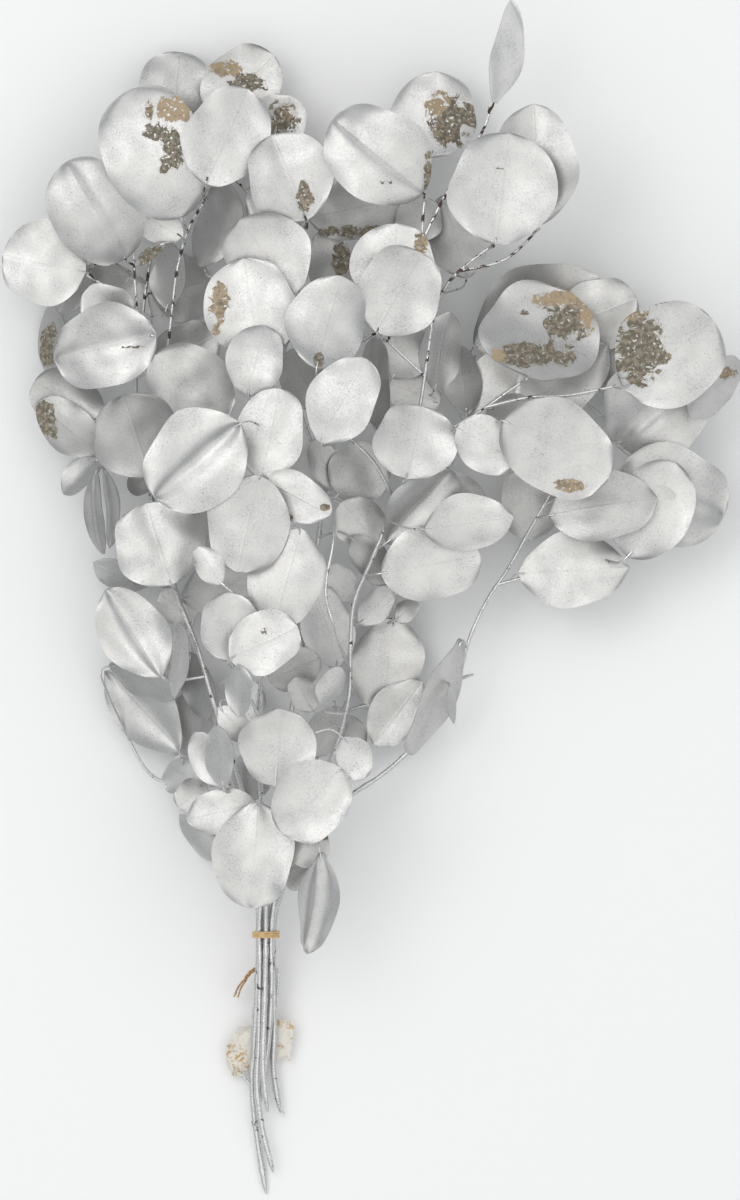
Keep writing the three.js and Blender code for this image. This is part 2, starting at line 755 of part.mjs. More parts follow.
// The elastic band round the tie.
const bandProfile = [
  [BAND_INNER, -BAND_HEIGHT / 2],
  [BAND_OUTER - BAND_ROUNDING, -BAND_HEIGHT / 2],
  [BAND_OUTER, -BAND_HEIGHT / 4],
  [BAND_OUTER, BAND_HEIGHT / 4],
  [BAND_OUTER - BAND_ROUNDING, BAND_HEIGHT / 2],
  [BAND_INNER, BAND_HEIGHT / 2],
  [BAND_INNER, -BAND_HEIGHT / 2],
].map(([x, y]) => new THREE.Vector2(x, y));
const band = addPiece("elastic_band", new THREE.LatheGeometry(bandProfile, 20), rubber);
band.position.set(TIE_X, TIE_Y, TIE_Z);

// The twine's tail, thicker towards its frayed end.
addPiece("twine_tail", geometryOf(bar(TWINE, TWINE_RADIUS, TWINE_END_RADIUS, 6)), jute);

// The paper scrap, crumpled by a wave along and across it.
const outline = new THREE.Shape(PAPER.map(([x, y]) => new THREE.Vector2(x, y)));
const paper = new THREE.ExtrudeGeometry(outline, { depth: PAPER_THICKNESS, bevelEnabled: false });
const sheet = paper.getAttribute("position");
for (let i = 0; i < sheet.count; i++) {
  const x = sheet.getX(i);
  const y = sheet.getY(i);
  const crumple = CRUMPLE_ALONG * (1 + Math.sin(x * 0.35)) + CRUMPLE_ACROSS * (1 + Math.cos(y * 0.5));
  sheet.setZ(i, sheet.getZ(i) + PAPER_LEVEL + PAPER_SLOPE * (y - PAPER_LEVEL_Y) - crumple);
}
paper.computeVertexNormals();
addPiece("paper_scrap", paper, wrapping);

// The origin is under the middle of the whole, on the table.
const whole = new THREE.Box3().setFromObject(bunch);
bunch.position.set(-(whole.min.x + whole.max.x) / 2, -(whole.min.y + whole.max.y) / 2, -whole.min.z);

export default bunch;
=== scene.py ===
"""A tied bunch of round-leaved eucalyptus, painted silver, lying on a pale floor."""
import math

import bpy
import numpy as np
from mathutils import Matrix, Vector, noise
from mathutils.geometry import delaunay_2d_cdt


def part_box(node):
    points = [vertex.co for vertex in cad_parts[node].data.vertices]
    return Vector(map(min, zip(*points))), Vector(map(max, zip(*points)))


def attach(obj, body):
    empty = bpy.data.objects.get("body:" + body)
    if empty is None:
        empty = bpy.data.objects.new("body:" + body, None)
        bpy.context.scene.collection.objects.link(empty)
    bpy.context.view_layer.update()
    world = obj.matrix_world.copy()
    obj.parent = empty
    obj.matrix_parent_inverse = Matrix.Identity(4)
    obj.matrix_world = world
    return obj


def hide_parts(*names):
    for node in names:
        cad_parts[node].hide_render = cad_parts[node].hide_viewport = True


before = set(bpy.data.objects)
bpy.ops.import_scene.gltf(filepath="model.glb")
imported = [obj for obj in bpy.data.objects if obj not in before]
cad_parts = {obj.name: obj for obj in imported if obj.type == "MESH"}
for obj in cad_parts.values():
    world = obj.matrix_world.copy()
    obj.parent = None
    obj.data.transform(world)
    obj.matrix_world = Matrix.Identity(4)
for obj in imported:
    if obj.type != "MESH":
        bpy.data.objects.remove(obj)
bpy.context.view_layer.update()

# The leafy stems. Each is one grown piece: a tapering stem, side twigs, thin petioles and round
# leathery leaves, dipped or sprayed in silver paint, which missed some patches of the dried leaf.
# Each stem is laid over the ones before it, from the back of the bunch to the front.

# Plan points are millimetres in the bunch's own drawing plane, whose zero is near its middle. The
# elastic band's place there, set against its place in the frame, gives the shift between the two.
MM = 0.001
TIE_X = -58
TIE_Y = -186.4
TIE_Z = 22
band_low, band_high = (Vector(corner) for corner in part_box("elastic_band"))
band_middle = (band_low + band_high) / 2
SHIFT = Vector((band_middle.x - TIE_X * MM, band_middle.y - TIE_Y * MM, 0))

# Each stem: its angle on the ring in the band, with none for the one in the middle, the height of
# its top end, and its points below the band and above it. Then its side twigs and its leaves: a
# leaf's base, its tip and the width that shows. A point of a fan or twig may have its own height.
STEMS = [
    {
        "name": "stem_back_left",
        "angle": 244.3,
        "height": 14,
        "cut": [[-61.6, -262, 7.6], [-61.3, -245, 10.6], [-60, -215, 15.2]],
        "fan": [[-66, -150], [-74, -115], [-95, -40], [-118, 40], [-130, 110], [-125, 170],
                [-114, 235]],
        "twigs": [
            [[-124, 88], [-138, 82, 22], [-150, 72, 32]],
            [[-128, 130], [-146, 124], [-165, 118]],
            [[-79, -98], [-92, -104], [-105, -104], [-116, -102], [-130, -90], [-136, -75]],
        ],
        "leaves": [
            [-124, 150, -158, 166, 40, "flat"], [-113, 30, -86, 52, 42], [-120, 60, -92, 80, 44],
            [-122, 170, -88, 176, 40], [-86, -70, -62, -48, 30], [-110, 260, -106, 303, 42],
            [-112, 160, -110, 197, 18], [-133, 180, -158, 182, 14], [-176, 122, -177, 164, 14],
            [-150, 98, -186, 120, 34], [-150, 81, -184, 109, 26], [-150, 78, -170, 58, 16],
            [-152, 70, -148, 25, 10], [-147, 72, -144, 28, 9], [-122, 8, -154, 20, 18, "pointed"],
            [-122, 68, -134, 60, 14], [-98, -12, -117, 3, 20], [-99, -52, -106, -90, 20],
            [-98, -104, -111, -92, 24], [-83, -147, -106, -120, 15, "pointed"],
            [-106, -84, -147, -40, 34, "pointed"], [-100, -30, -91, -67, 17],
            [-120, 128, -86, 146, 32], [-104, 0, -66, 12, 28], [-144, -36, -108, -54, 20],
            [-92, -102, -106, -116, 18], [-156, 184, -172, 158, 18],
        ],
    },
    {
        "name": "stem_back_right",
        "angle": 295.7,
        "height": 16,
        "cut": [[-57.3, -258, 8.4], [-57, -245, 10.6], [-56.4, -215, 15.2]],
        "fan": [[-48, -150], [-38, -110], [-5, -40], [25, 30], [50, 85], [75, 107], [110, 112],
                [139, 119], [170, 122]],
        "twigs": [
            [[50, 86], [54, 110], [58, 135]],
            [[92, 111], [102, 128], [110, 145]],
            [[28, 38], [58, 40], [88, 35]],
            [[-13, -58], [8, -56], [26, -50]],
            [[118, 113], [130, 106], [138, 94]],
        ],
        "leaves": [
            [84, 122, 102, 160, 40, "flat"], [28, 40, 62, 60, 40], [130, 116, 158, 136, 40],
            [110, 120, 136, 146, 36], [58, 141, 131, 172, 58], [108, 150, 147, 166, 40],
            [52, 98, 100, 135, 46], [80, 100, 130, 140, 40], [53, 102, 48, 140, 20],
            [136, 86, 178, 122, 58], [182, 124, 199, 110, 42], [90, 33, 87, 72, 34],
            [13, -12, 6, -62, 40], [28, -46, 2, -81, 30], [14, -12, 26, -2, 12],
            [-24, -84, -4, -70, 24], [66, 106, 92, 86, 34],
        ],
    },
    {
        "name": "stem_back_centre",
        "angle": None,
        "height": 30,
        "cut": [[-58.3, -214, 19.4], [-58.1, -205, 20.9]],
        "fan": [[-54, -142], [-50, -100], [-35, -10], [-25, 60], [-12, 130], [0, 180], [15, 212],
                [30, 235]],
        "twigs": [
            [[-23, 74], [-38, 100], [-48, 140], [-58, 185], [-68, 228]],
            [[-9, 145], [20, 158], [45, 172]],
            [[-37, -22], [-20, -16], [-8, -10]],
            [[-15, 115], [8, 116], [34, 112]],
        ],
        "leaves": [
            [-36, -20, -62, 2, 38], [-26, 60, -56, 76, 40], [-2, 178, 26, 176, 34],
            [-62, 205, -40, 236, 36], [-89, 268, -54, 301, 42], [-62, 240, -44, 278, 34],
            [-94, 184, -79, 231, 25], [-20, 165, -25, 205, 26], [20, 222, -34, 210, 36],
            [34, 245, 36, 292, 48], [54, 178, 40, 223, 34], [38, 108, 8, 120, 24],
            [12, 122, 26, 150, 28], [36, 115, 44, 158, 22], [-20, 60, -31, 88, 18],
            [-18, 57, 6, 83, 34], [-16, 53, 5, 30, 28], [-10, 0, -25, 18, 18],
            [-18, -38, -32, 8, 28], [-6, -14, 12, 6, 16], [-28, -33, -56, -45, 24],
            [-72, -112, -60, -84, 24], [-30, 104, -44, 138, 26], [4, 92, 2, 144, 20],
            [24, 198, 30, 222, 26], [-18, -60, -32, -88, 20], [-10, 34, 10, 8, 20],
        ],
    },
    {
        "name": "stem_left",
        "angle": 192.9,
        "height": 45,
        "cut": [[-58, -331, 1.75], [-63, -300, 4], [-66, -270, 7.8], [-64, -240, 12.6],
                [-62.9, -212, 17.6]],
        "fan": [[-64, -148], [-70, -110], [-86, -60], [-98, -20], [-109, 8], [-118, 60],
                [-117, 105], [-112, 140], [-108, 175], [-104, 195], [-98, 210], [-90, 222]],
        "twigs": [
            [[-114, 128], [-127, 147], [-130, 170], [-131, 192]],
            [[-130, 162], [-146, 172], [-157, 179]],
            [[-92, -41], [-102, -48], [-112, -46]],
            [[-118, 82], [-98, 92], [-82, 99]],
        ],
        "leaves": [
            [-104, 200, -131, 214, 20], [-113, 197, -130, 184, 6], [-158, 181, -203, 190, 48],
            [-136, 188, -168, 241, 50], [-105, 211, -131, 281, 60], [-91, 229, -68, 281, 46],
            [-132, 154, -159, 168, 26], [-119, 146, -174, 132, 46], [-79, 101, -119, 134, 42],
            [-122, 68, -136, 112, 48], [-110, 8, -124, 52, 50], [-108, -55, -105, -14, 10],
            [-116, -43, -146, 5, 38],
        ],
    },
    {
        "name": "stem_right",
        "angle": 347.1,
        "height": 40,
        "cut": [[-50, -286, 4.6], [-53.6, -270, 7], [-53.4, -240, 12.4], [-53.5, -212, 17.6]],
        "fan": [[-40, -144], [-23, -120], [-12, -110], [0, -102], [10, -95], [20, -86], [27, -78],
                [35, -66], [44, -50], [50, -42], [53, -27], [60, -12], [64, -2], [69, 12], [80, 20],
                [83, 30], [90, 40], [97, 46], [101, 60]],
        "twigs": [
            [[70, 13], [82, 10], [104, 18], [132, 23]],
            [[100, 54], [116, 62], [134, 68]],
            [[50, -43], [57, -42]],
        ],
        "leaves": [
            [50, -23, 22, -86, 21], [44, -47, 46, -69, 5, "pointed"],
            [82, 14, 143, 17, 43, "pointed"], [138, 70, 195, 45, 56], [143, 23, 168, 75, 46],
            [99, 46, 158, 55, 40],
        ],
    },
    {
        "name": "stem_centre",
        "angle": 141.4,
        "height": 60,
        "cut": [[-54, -319, 7], [-59, -300, 10.2], [-63, -275, 13.6], [-62, -248, 16.6],
                [-61.5, -212, 21.6]],
        "fan": [[-59, -146], [-60, -120], [-62, -60, 50], [-55, -10, 72], [-52, 50, 90],
                [-60, 100, 72], [-61, 130, 62]],
        "twigs": [
            [[-60, 104], [-48, 135, 64], [-40, 165, 60], [-36, 205, 60]],
            [[-62, -62], [-70, -48, 78], [-76, -36, 96]],
        ],
        "leaves": [
            [-36, 209, -38, 172, 8], [-35, 209, -54, 255, 48], [-41, 168, -72, 208, 48],
            [-61, 132, -70, 187, 52], [-68, 112, -58, 150, 32], [-60, 66, -50, 115, 38],
            [-59, 66, -22, 46, 26], [-38, 38, -54, -17, 42], [-61, 67, -73, 15, 46],
            [-72, 96, -118, 56, 54], [-82, 8, -95, 28, 16], [-76, -34, -78, 3, 34],
            [-77, -32, -40, -16, 34], [-84, -60, -66, -78, 16], [-72, -36, -72, -65, 15],
        ],
    },
    {
        "name": "stem_centre_right",
        "angle": 38.6,
        "height": 84,
        "cut": [[-62.5, -284, 8.8], [-60, -270, 9.8], [-56.5, -245, 15], [-54.8, -212, 21.2]],
        "fan": [[-46, -144], [-22, -90], [-17, -75], [-12, -60], [-12, -40], [-10, -15], [-8, 5],
                [0, 20], [8, 35], [12, 55], [20, 68], [28, 110], [34, 150], [40, 173], [56, 182],
                [69, 196]],
        "twigs": [
            [[-12, -35], [-20, -15], [-25, 0], [-22, 12], [-20, 40]],
            [[12, 58], [0, 78], [-14, 92], [-28, 108], [-30, 121]],
            [[21, 74], [36, 88], [50, 96], [60, 103], [70, 110], [86, 121]],
            [[66, 107], [80, 110], [110, 112], [125, 113], [139, 118]],
            [[34, 152], [31, 180], [28, 203], [33, 215], [30, 223]],
            [[29, 203], [40, 220], [48, 235], [56, 245], [63, 260], [66, 272]],
            [[55, 182], [70, 186], [80, 188], [87, 193], [93, 204]],
            [[24, 80], [38, 87], [50, 92], [72, 97]],
            [[31, 126], [16, 138], [6, 145]],
        ],
        "leaves": [
            [12, 160, 14, 206, 48], [29, 224, -20, 264, 52], [92, 206, 90, 272, 46],
            [69, 195, 76, 255, 60], [68, 273, 77, 330, 18, "pointed"], [3, 147, 28, 190, 46],
            [-30, 127, -16, 177, 44], [-28, 86, -2, 131, 38], [9, 31, 46, 70, 32],
            [20, 66, 28, 104, 46], [6, 14, 60, 24, 42], [30, 38, 79, 45, 32, "pointed"],
            [48, 94, 80, 75, 30], [74, 98, 131, 67, 51], [87, 122, 101, 172, 66],
            [140, 116, 188, 153, 59], [-32, -62, -42, -44, 16], [-28, -58, -16, -38, 14],
        ],
    },
    {
        "name": "stem_low",
        "angle": 90,
        "height": 92,
        "cut": [[-57, -285, 14.5], [-59.6, -262, 18.2], [-58.4, -212, 24.2]],
        "fan": [[-56, -142], [-50, -110], [-40, -75]],
        "twigs": [
            [[-56, -138], [-64, -116], [-79, -105]],
            [[-54, -130], [-36, -122], [-20, -115], [-14, -104]],
        ],
        "leaves": [
            [-33, -146, -45, -160, 14], [-32, -131, -50, -144, 18], [-26, -127, -42, -146, 22],
            [-27, -140, -35, -195, 22, "pointed"], [-63, -113, -101, -122, 26],
            [-62, -113, -66, -170, 45], [-82, -104, -97, -74, 20], [-81, -103, -84, -70, 15],
            [-14, -76, -4, -99, 20], [-49, -61, -52, -103, 43], [-17, -93, -48, -129, 42],
        ],
    },
]

# The main stems, held in a ring by the band, and how far up they lie bare.
STEM_RADIUS = 1.7
STEM_TIP_RADIUS = 0.8
STEM_SIDES = 12
RING_RADIUS = 4.4
TIED_LENGTH = 10
TIE_SPREAD = 1.6
FAN_END = TIE_Y + 42
LOWEST_LEAF = FAN_END - 15

# Twigs and petioles. A petiole grows a little below its blade and ends just inside it.
TWIG_RADIUS = 1.0
TWIG_TIP_RADIUS = 0.7
TWIG_SIDES = 8
PETIOLE_RADIUS = 0.8
PETIOLE_TIP_RADIUS = 0.45
PETIOLE_SIDES = 7
PETIOLE_STEPS = 8
PETIOLE_BEND = 0.4
PETIOLE_SINK = 3.5
STEP_BACK = 3

# Blades: their proportions, how far narrow ones roll from flat, how their ends taper, and how
# much they sway, fold, cup and bow.
BLADE_THICKNESS = 0.8
BLADE_ROWS = 5
END_ANGLE = 0.2
ROUNDEST = 1.12
NARROWEST = 0.62
MOST_ROLL = 0.9
SLENDER = 1.35
SLENDER_TAPER = 0.3
ROOT_TAPER = (0.88, 1.28)
TIP_TAPER = (0.76, 1.1)
POINTED_TAPER = 0.55
SWAY = 0.12
FULL_TURN = 6.28
FOLD = 0.07
FOLD_BIAS = 0.3
CUP = 0.16
BOW = 0.1
WAVE = 0.05
UNEVEN_EDGE = 0.05
UNEVEN_WIDTH = 0.03

# The heap: the cells of its plan, the gap between its layers, how steeply a twig climbs, how far
# a blade stands off its stem, and the steps in which blades and lines are laid.
CELL = 2.5
CELL_SHIFT = 0.137
GAP = 0.9
STEEPEST = 0.55
LEAST_STAND = 2
STAND_SPREAD = 4
SAMPLE = 2.4
FINE = 4
STATION = 6


def draw(number):
    """A repeatable draw between 0 and 1."""
    s = math.sin(number * 12.9898) * 43758.5453
    return s - math.floor(s)


def cell_of(value):
    """The number of the plan's cell that holds a place, along either axis."""
    return math.floor((value + CELL_SHIFT) / CELL)


def mark_top(grid, x, y, top):
    """Notes the top of something in its cell, where it is the highest yet."""
    key = (cell_of(x), cell_of(y))
    if top > grid.get(key, -GAP):
        grid[key] = top


def top_around(grid, x, y):
    """The top of what is laid in a cell of the plan and the four beside it."""
    i, j = cell_of(x), cell_of(y)
    beside = ((i, j), (i + 1, j), (i - 1, j), (i, j + 1), (i, j - 1))
    return max(grid.get(key, -GAP) for key in beside)


def plan_length(a, b):
    """The distance between two points as seen from above."""
    return math.hypot(b[0] - a[0], b[1] - a[1])


def mix(a, b, t):
    """The point between a and b at the share t."""
    return [p + (q - p) * t for p, q in zip(a, b)]


def curve_through(points, steps_between):
    """A smooth curve through the points, cut in as many steps as steps_between gives for a pair."""
    curve = []
    for i in range(len(points) - 1):
        a, b, c = points[max(i - 1, 0)], points[i], points[i + 1]
        d = points[min(i + 2, len(points) - 1)]
        steps = max(1, steps_between(b, c))
        for k in range(steps):
            t = k / steps
            curve.append([
                0.5 * (2 * q + (r - p) * t + (2 * p - 5 * q + 4 * r - s) * t * t
                       + (3 * q - p - 3 * r + s) * t * t * t)
                for p, q, r, s in zip(a, b, c, d)
            ])
    curve.append(list(points[-1]))
    return curve


def smooth_line(points, spacing):
    """A smooth line through the points, in short steps that are even in plan."""
    return curve_through(points, lambda b, c: math.floor(plan_length(b, c) / spacing + 0.5))


def lift_line(line, grid, radius, free):
    """Lifts a line over what lies under it, in slopes that a twig can take."""
    need = [
        point[2] if free(i) else max(point[2], top_around(grid, point[0], point[1]) + GAP + radius)
        for i, point in enumerate(line)
    ]
    along = [0]
    for a, b in zip(line, line[1:]):
        along.append(along[-1] + plan_length(a, b))
    for i, point in enumerate(line):
        if not free(i):
            point[2] = max(n - STEEPEST * abs(along[i] - s) for n, s in zip(need, along))


def stations_of(line, free):
    """The line's coarse stations, each no lower than the fine points on both sides of it."""
    last = len(line) - 1
    picked = list(range(0, last, STATION))
    if last - picked[-1] < STATION / 2 and len(picked) > 1:
        picked.pop()
    picked.append(last)
    stations = []
    for n, i in enumerate(picked):
        z = line[i][2]
        start = picked[n - 1] if n > 0 else i
        stop = picked[n + 1] if n + 1 < len(picked) else i
        if not free(i):
            z = max([z] + [point[2] - 1 for point in line[start:stop + 1]])
        stations.append([line[i][0], line[i][1], z])
    return stations


def between(stations):
    """The points between the stations, for what is laid over a bar or grows from it."""
    points = []
    for a, b in zip(stations, stations[1:]):
        points.extend([p + ((q - p) * k) / STATION for p, q in zip(a, b)] for k in range(STATION))
    points.append(stations[-1])
    return points


def mark_line(grid, line, radius):
    """Notes the top of a bar along its line."""
    for a, b in zip(line, line[1:]):
        for t in (0, 0.5):
            at = mix(a, b, t)
            mark_top(grid, at[0], at[1], at[2] + radius)


def leaf_form(row, number):
    """A leaf's frame and form, from what is seen of it: narrow ones are rolled away from flat."""
    base_x, base_y, tip_x, tip_y, seen = row[:5]
    plan = math.hypot(tip_x - base_x, tip_y - base_y)
    length = max(plan, seen / ROUNDEST)
    width = max(seen, min(NARROWEST * length, seen / math.cos(MOST_ROLL)))
    still = 0 if row[5:] == ["flat"] else 1

    def about(k):
        return 2 * draw(number * 7 + k) - 1

    def taper_of(least, most, k):
        slender = SLENDER_TAPER if length > SLENDER * width else 0
        return slender + least + (most - least) * draw(number * 7 + k)

    ax, ay = (tip_x - base_x) / plan, (tip_y - base_y) / plan
    outward = -1 if ay * (base_x - TIE_X) > 0 else 1
    roll = still * (outward * math.acos(seen / width) + SWAY * about(2))
    pitch = still * (SWAY * about(4) - math.acos(plan / length))
    along = np.array([ax * math.cos(pitch), ay * math.cos(pitch), math.sin(pitch)])
    level = np.array([ay, -ax, 0])
    up = np.array([-ax * math.sin(pitch), -ay * math.sin(pitch), math.cos(pitch)])
    return {
        "base": np.array([base_x, base_y, 0.0]),
        "along": along,
        "across": level * math.cos(roll) + up * math.sin(roll),
        "normal": up * math.cos(roll) - level * math.sin(roll),
        "length": length,
        "width": width,
        "root_taper": taper_of(*ROOT_TAPER, 8),
        "tip_taper": taper_of(*TIP_TAPER, 9) + (POINTED_TAPER if row[5:] == ["pointed"] else 0),
        "fold": still * FOLD * (about(5) + FOLD_BIAS),
        "cup": still * CUP * about(6),
        "bow": still * BOW * about(7),
        "wave": still * WAVE,
        "phase": FULL_TURN * draw(number * 7 + 2),
    }


def leaf_points(leaf, u, t, rise):
    """Points of the leaf: u from edge to edge (-1 to 1), t from base to tip (0 to 1)."""
    angle = END_ANGLE + (math.pi - 2 * END_ANGLE) * t
    v = (math.cos(END_ANGLE) - np.cos(angle)) / (2 * math.cos(END_ANGLE))
    uneven_edge = UNEVEN_EDGE * np.sin(3 * angle + leaf["phase"]) * u
    uneven = 1 + uneven_edge + UNEVEN_WIDTH * np.cos(5 * angle)
    half = leaf["width"] / 2
    taper = leaf["root_taper"] + (leaf["tip_taper"] - leaf["root_taper"]) * t
    x = u * np.power(np.sin(angle), taper) * uneven * half
    lift = (leaf["fold"] * abs(x) + leaf["cup"] * x * x / half
            + leaf["bow"] * leaf["length"] * ((2 * v - 1) ** 2 - 1)
            + leaf["wave"] * half * u * u * np.sin(2 * angle + leaf["phase"]) + rise)
    return (leaf["base"] + leaf["along"] * (v * leaf["length"])[..., None]
            + leaf["across"] * x[..., None] + leaf["normal"] * lift[..., None])


def leaf_samples(leaf):
    """Points all over a blade, close enough to meet every cell under it."""
    rows = math.ceil(leaf["length"] / SAMPLE)
    columns = math.ceil(leaf["width"] / SAMPLE)
    t, u = np.meshgrid(np.arange(rows + 1) / rows, 2 * np.arange(columns + 1) / columns - 1,
                       indexing="ij")
    return leaf_points(leaf, u, t, 0.0).reshape(-1, 3).tolist()


def attach_point(lines, x, y):
    """The nearest point of a stem's lines to a leaf's base, a little back towards the root."""
    best = None
    least = math.inf
    for line in lines:
        for i in range(1, len(line)):
            away = math.hypot(line[i][0] - x, line[i][1] - y)
            if line[i][1] < LOWEST_LEAF or away >= least:
                continue
            least = away
            k = i
            back = 0
            while k > 0 and back < STEP_BACK:
                back += plan_length(line[k - 1], line[k])
                k -= 1
            best = line[k]
    return best


def petiole_line(start, leaf, grid, leaves):
    """The petiole's stations from the stem to just inside the blade."""
    base = leaf["base"].tolist()
    reach = plan_length(start, base)
    bend = [value - a * PETIOLE_BEND * reach for value, a in zip(base, leaf["along"])]
    is_open = top_around(leaves, start[0], start[1]) < start[2]
    fine = []
    for i in range(PETIOLE_STEPS + 1):
        t = i / PETIOLE_STEPS
        at = [(1 - t) * (1 - t) * p + 2 * t * (1 - t) * q + t * t * r
              for p, q, r in zip(start, bend, base)]
        if i > 0:
            at[2] = max(at[2], top_around(grid, at[0], at[1]) + GAP + PETIOLE_RADIUS)
        if i > 1 and is_open:
            at[2] = max(at[2], top_around(leaves, at[0], at[1]) + GAP / 2)
        fine.append(at)
    middle = PETIOLE_STEPS // 2
    highest = max(point[2] for point in fine[2:-2])
    edge = np.array([1.0, 1.0, -1.0, -1.0])
    rows = np.array([0, 1 / BLADE_ROWS] * 2)
    corners = leaf_points(leaf, edge, rows, 0.0)
    first = (corners[0] + corners[2]) / 2
    second = (corners[1] + corners[3]) / 2
    sink = PETIOLE_SINK / np.linalg.norm(second - first)
    inside = (first + (second - first) * sink).tolist()
    return [fine[0], [fine[middle][0], fine[middle][1], highest], inside]


def main_line(stem):
    """The main stem's line, from its cut tip through the tie to its top end."""
    x, z = TIE_X, TIE_Z
    if stem["angle"] is not None:
        x += RING_RADIUS * math.cos(math.radians(stem["angle"]))
        z += RING_RADIUS * math.sin(math.radians(stem["angle"]))
    tied = [[x, TIE_Y - TIED_LENGTH, z], [x, TIE_Y + TIED_LENGTH, z]]
    lengths = [0]
    for a, b in zip(stem["fan"], stem["fan"][1:]):
        lengths.append(lengths[-1] + plan_length(a, b))
    start = z + (z - TIE_Z) * TIE_SPREAD
    rise = (stem["height"] - start) / lengths[-1]
    fan = [[*point, start + rise * s][:3] for point, s in zip(stem["fan"], lengths)]
    return smooth_line(stem["cut"] + tied + fan, FINE)


# Where the paint missed the leaf: the leaf's base, then [middle x, middle y, half width,
# half height, tan] of each patch. tan runs from 0, dark olive, to 1, pale tan.
BARE = {
    (-105, 211): [[-117, 257, 10, 5, 0.1], [-109, 249, 6, 13, 0.05], [-114, 237, 3, 7, 0.1],
                  [-107, 270, 12, 8, 0.75], [-122, 270, 3, 8, 0.4]],
    (-89, 268): [[-68, 286, 11, 6, 0.1], [-80, 293, 11, 5, 0.8]],
    (-62, 240): [[-48, 265, 9, 12, 0.35]],
    (-113, 197): [[-121, 190, 10, 7, 0.0]],
    (-35, 209): [[-36, 220, 5, 11, 0.35]],
    (34, 245): [[46, 264, 14, 15, 0.3], [38, 274, 8, 8, 0.9]],
    (20, 222): [[-8, 203, 26, 4, 0.2]],
    (29, 224): [[9, 229, 6, 1.2, 0.1], [32, 232, 3, 14, 0.1]],
    (12, 160): [[28, 195, 5, 7, 0.6]],
    (-20, 165): [[-16, 187, 6, 11, 0.05]],
    (-176, 122): [[-178, 140, 5, 14, 0.05]],
    (-150, 81): [[-180, 98, 8, 12, 0.15]],
    (-61, 132): [[-83, 162, 6, 12, 0.6], [-85, 147, 3, 3, 0.6]],
    (-30, 127): [[-28, 131, 3, 4, 0.0]],
    (-59, 66): [[-45, 44, 3, 3, 0.2], [-25, 50, 3, 2, 0.2]],
    (87, 122): [[109, 153, 13, 14, 0.15], [92, 135, 24, 8, 0.1], [84, 158, 3, 2, 0.1],
                [108, 165, 17, 6, 0.8], [119, 157, 7, 11, 0.75], [70, 134, 6, 5, 0.7]],
    (140, 116): [[148, 138, 16, 21, 0.1], [143, 156, 10, 7, 0.6], [152, 163, 12, 2, 0.2]],
    (182, 124): [[190, 130, 5, 5, 0.1], [197, 124, 5, 4, 0.4]],
    (74, 98): [[110, 62, 9, 4, 0.7]],
    (-77, -32): [[-58, -17, 3, 3, 0.1]],
    (-26, -127): [[-26, -131, 3, 3, 0.1]],
    (-119, 146): [[-132, 139, 9, 1.2, 0.1]],
    (69, 195): [[63, 239, 3, 1.2, 0.2], [71, 236, 4, 1.4, 0.4]],
}

# Painted shade and painted highlight: leaves whose paint is made greyer than the rest, or brighter,
# to stand in for the light on each, with their share of the paint's brightness.
LEAF_PAINTED_SHADE = {
    (-110, 260): 0.84, (-94, 184): 0.7, (-112, 160): 0.82, (20, 222): 0.78, (54, 178): 0.76,
    (58, 141): 0.84, (3, 147): 0.9, (-136, 188): 0.92, (92, 206): 0.94, (108, 150): 0.94,
    (-150, 98): 0.84, (-150, 81): 0.8, (-20, 165): 0.82, (-150, 78): 0.78, (-152, 70): 0.68,
    (-147, 72): 0.62, (-122, 68): 0.7, (-176, 122): 0.8, (-100, -30): 0.74, (-92, -102): 0.86,
    (-28, -33): 0.78, (-72, -112): 0.82, (-30, 104): 0.78, (4, 92): 0.78, (24, 198): 0.86,
    (-18, -60): 0.78, (-10, 34): 0.78, (-120, 128): 0.78, (-104, 0): 0.82, (-144, -36): 0.86,
    (-156, 184): 0.74, (-24, -84): 0.82, (66, 106): 0.86, (68, 273): 1.3,
}

# Leaves with a fold along the midrib: its height, downwards where it is a valley, and how far
# it reaches to the side of u below 0 and to the side of u above 0.
FOLDS = {
    (-72, 96): (-3.6, 8, 4.5), (136, 86): (-3, 12, 5), (-35, 209): (-1, 5, 8), (9, 31): (-6, 9, 9),
    (-106, -84): (-2, 6, 8), (138, 70): (2.4, 5, 12), (-116, -43): (2.5, 4, 9),
    (29, 224): (2.2, 4, 14), (-136, 188): (1.8, 9, 4), (-119, 146): (-1.6, 8, 6),
    (-62, -113): (1.6, 7, 5), (-27, -140): (-5, 5.5, 8), (-152, 70): (1.6, 2, 4),
    (-147, 72): (-1.2, 3, 2),
}

# The finer blades: their thickness, their crinkled face, and the ripple and curl of the margin.
LEAF_ROWS = 30
LEAF_COLUMNS = 22
LEAF_THICKNESS = 0.5
EDGE_ANGLE = 0.03
CRINKLE = 0.7
CRINKLE_SIZE = 11
RIPPLE = 0.045
CURL = 0.09
CURL_BIAS = 0.55
FOLD_FADE = 0.4
SMOOTH_ANGLE = math.radians(50)

# The finer bars: their swollen nodes, the sliver at a cut end, and how fast a stub narrows.
TUBE_STEP = 3.0
NODE_SPACING = 27
NODE_LENGTH = 1.6
NODE_SWELLING = 0.28
SLIVER_RADIUS = 0.25
STUB_TAPER = 0.45
STUB_SIDES = 8

# The paint on the twigs is worn thin towards the top of the bunch.
WORN_FROM = 70
WORN_OVER = 160


def bare_field(row, points):
    """How far each point lies inside a bare patch (over 0 inside), and how tan it is there."""
    depth = np.full(len(points), -3.0)
    tan = np.zeros(len(points))
    for x, y, half_x, half_y, colour in BARE.get((row[0], row[1]), ()):
        inside = 1 - ((points[:, 0] - x) / half_x) ** 2 - ((points[:, 1] - y) / half_y) ** 2
        tan = np.where(inside > depth, colour, tan)
        depth = np.maximum(depth, inside)
    return depth, tan


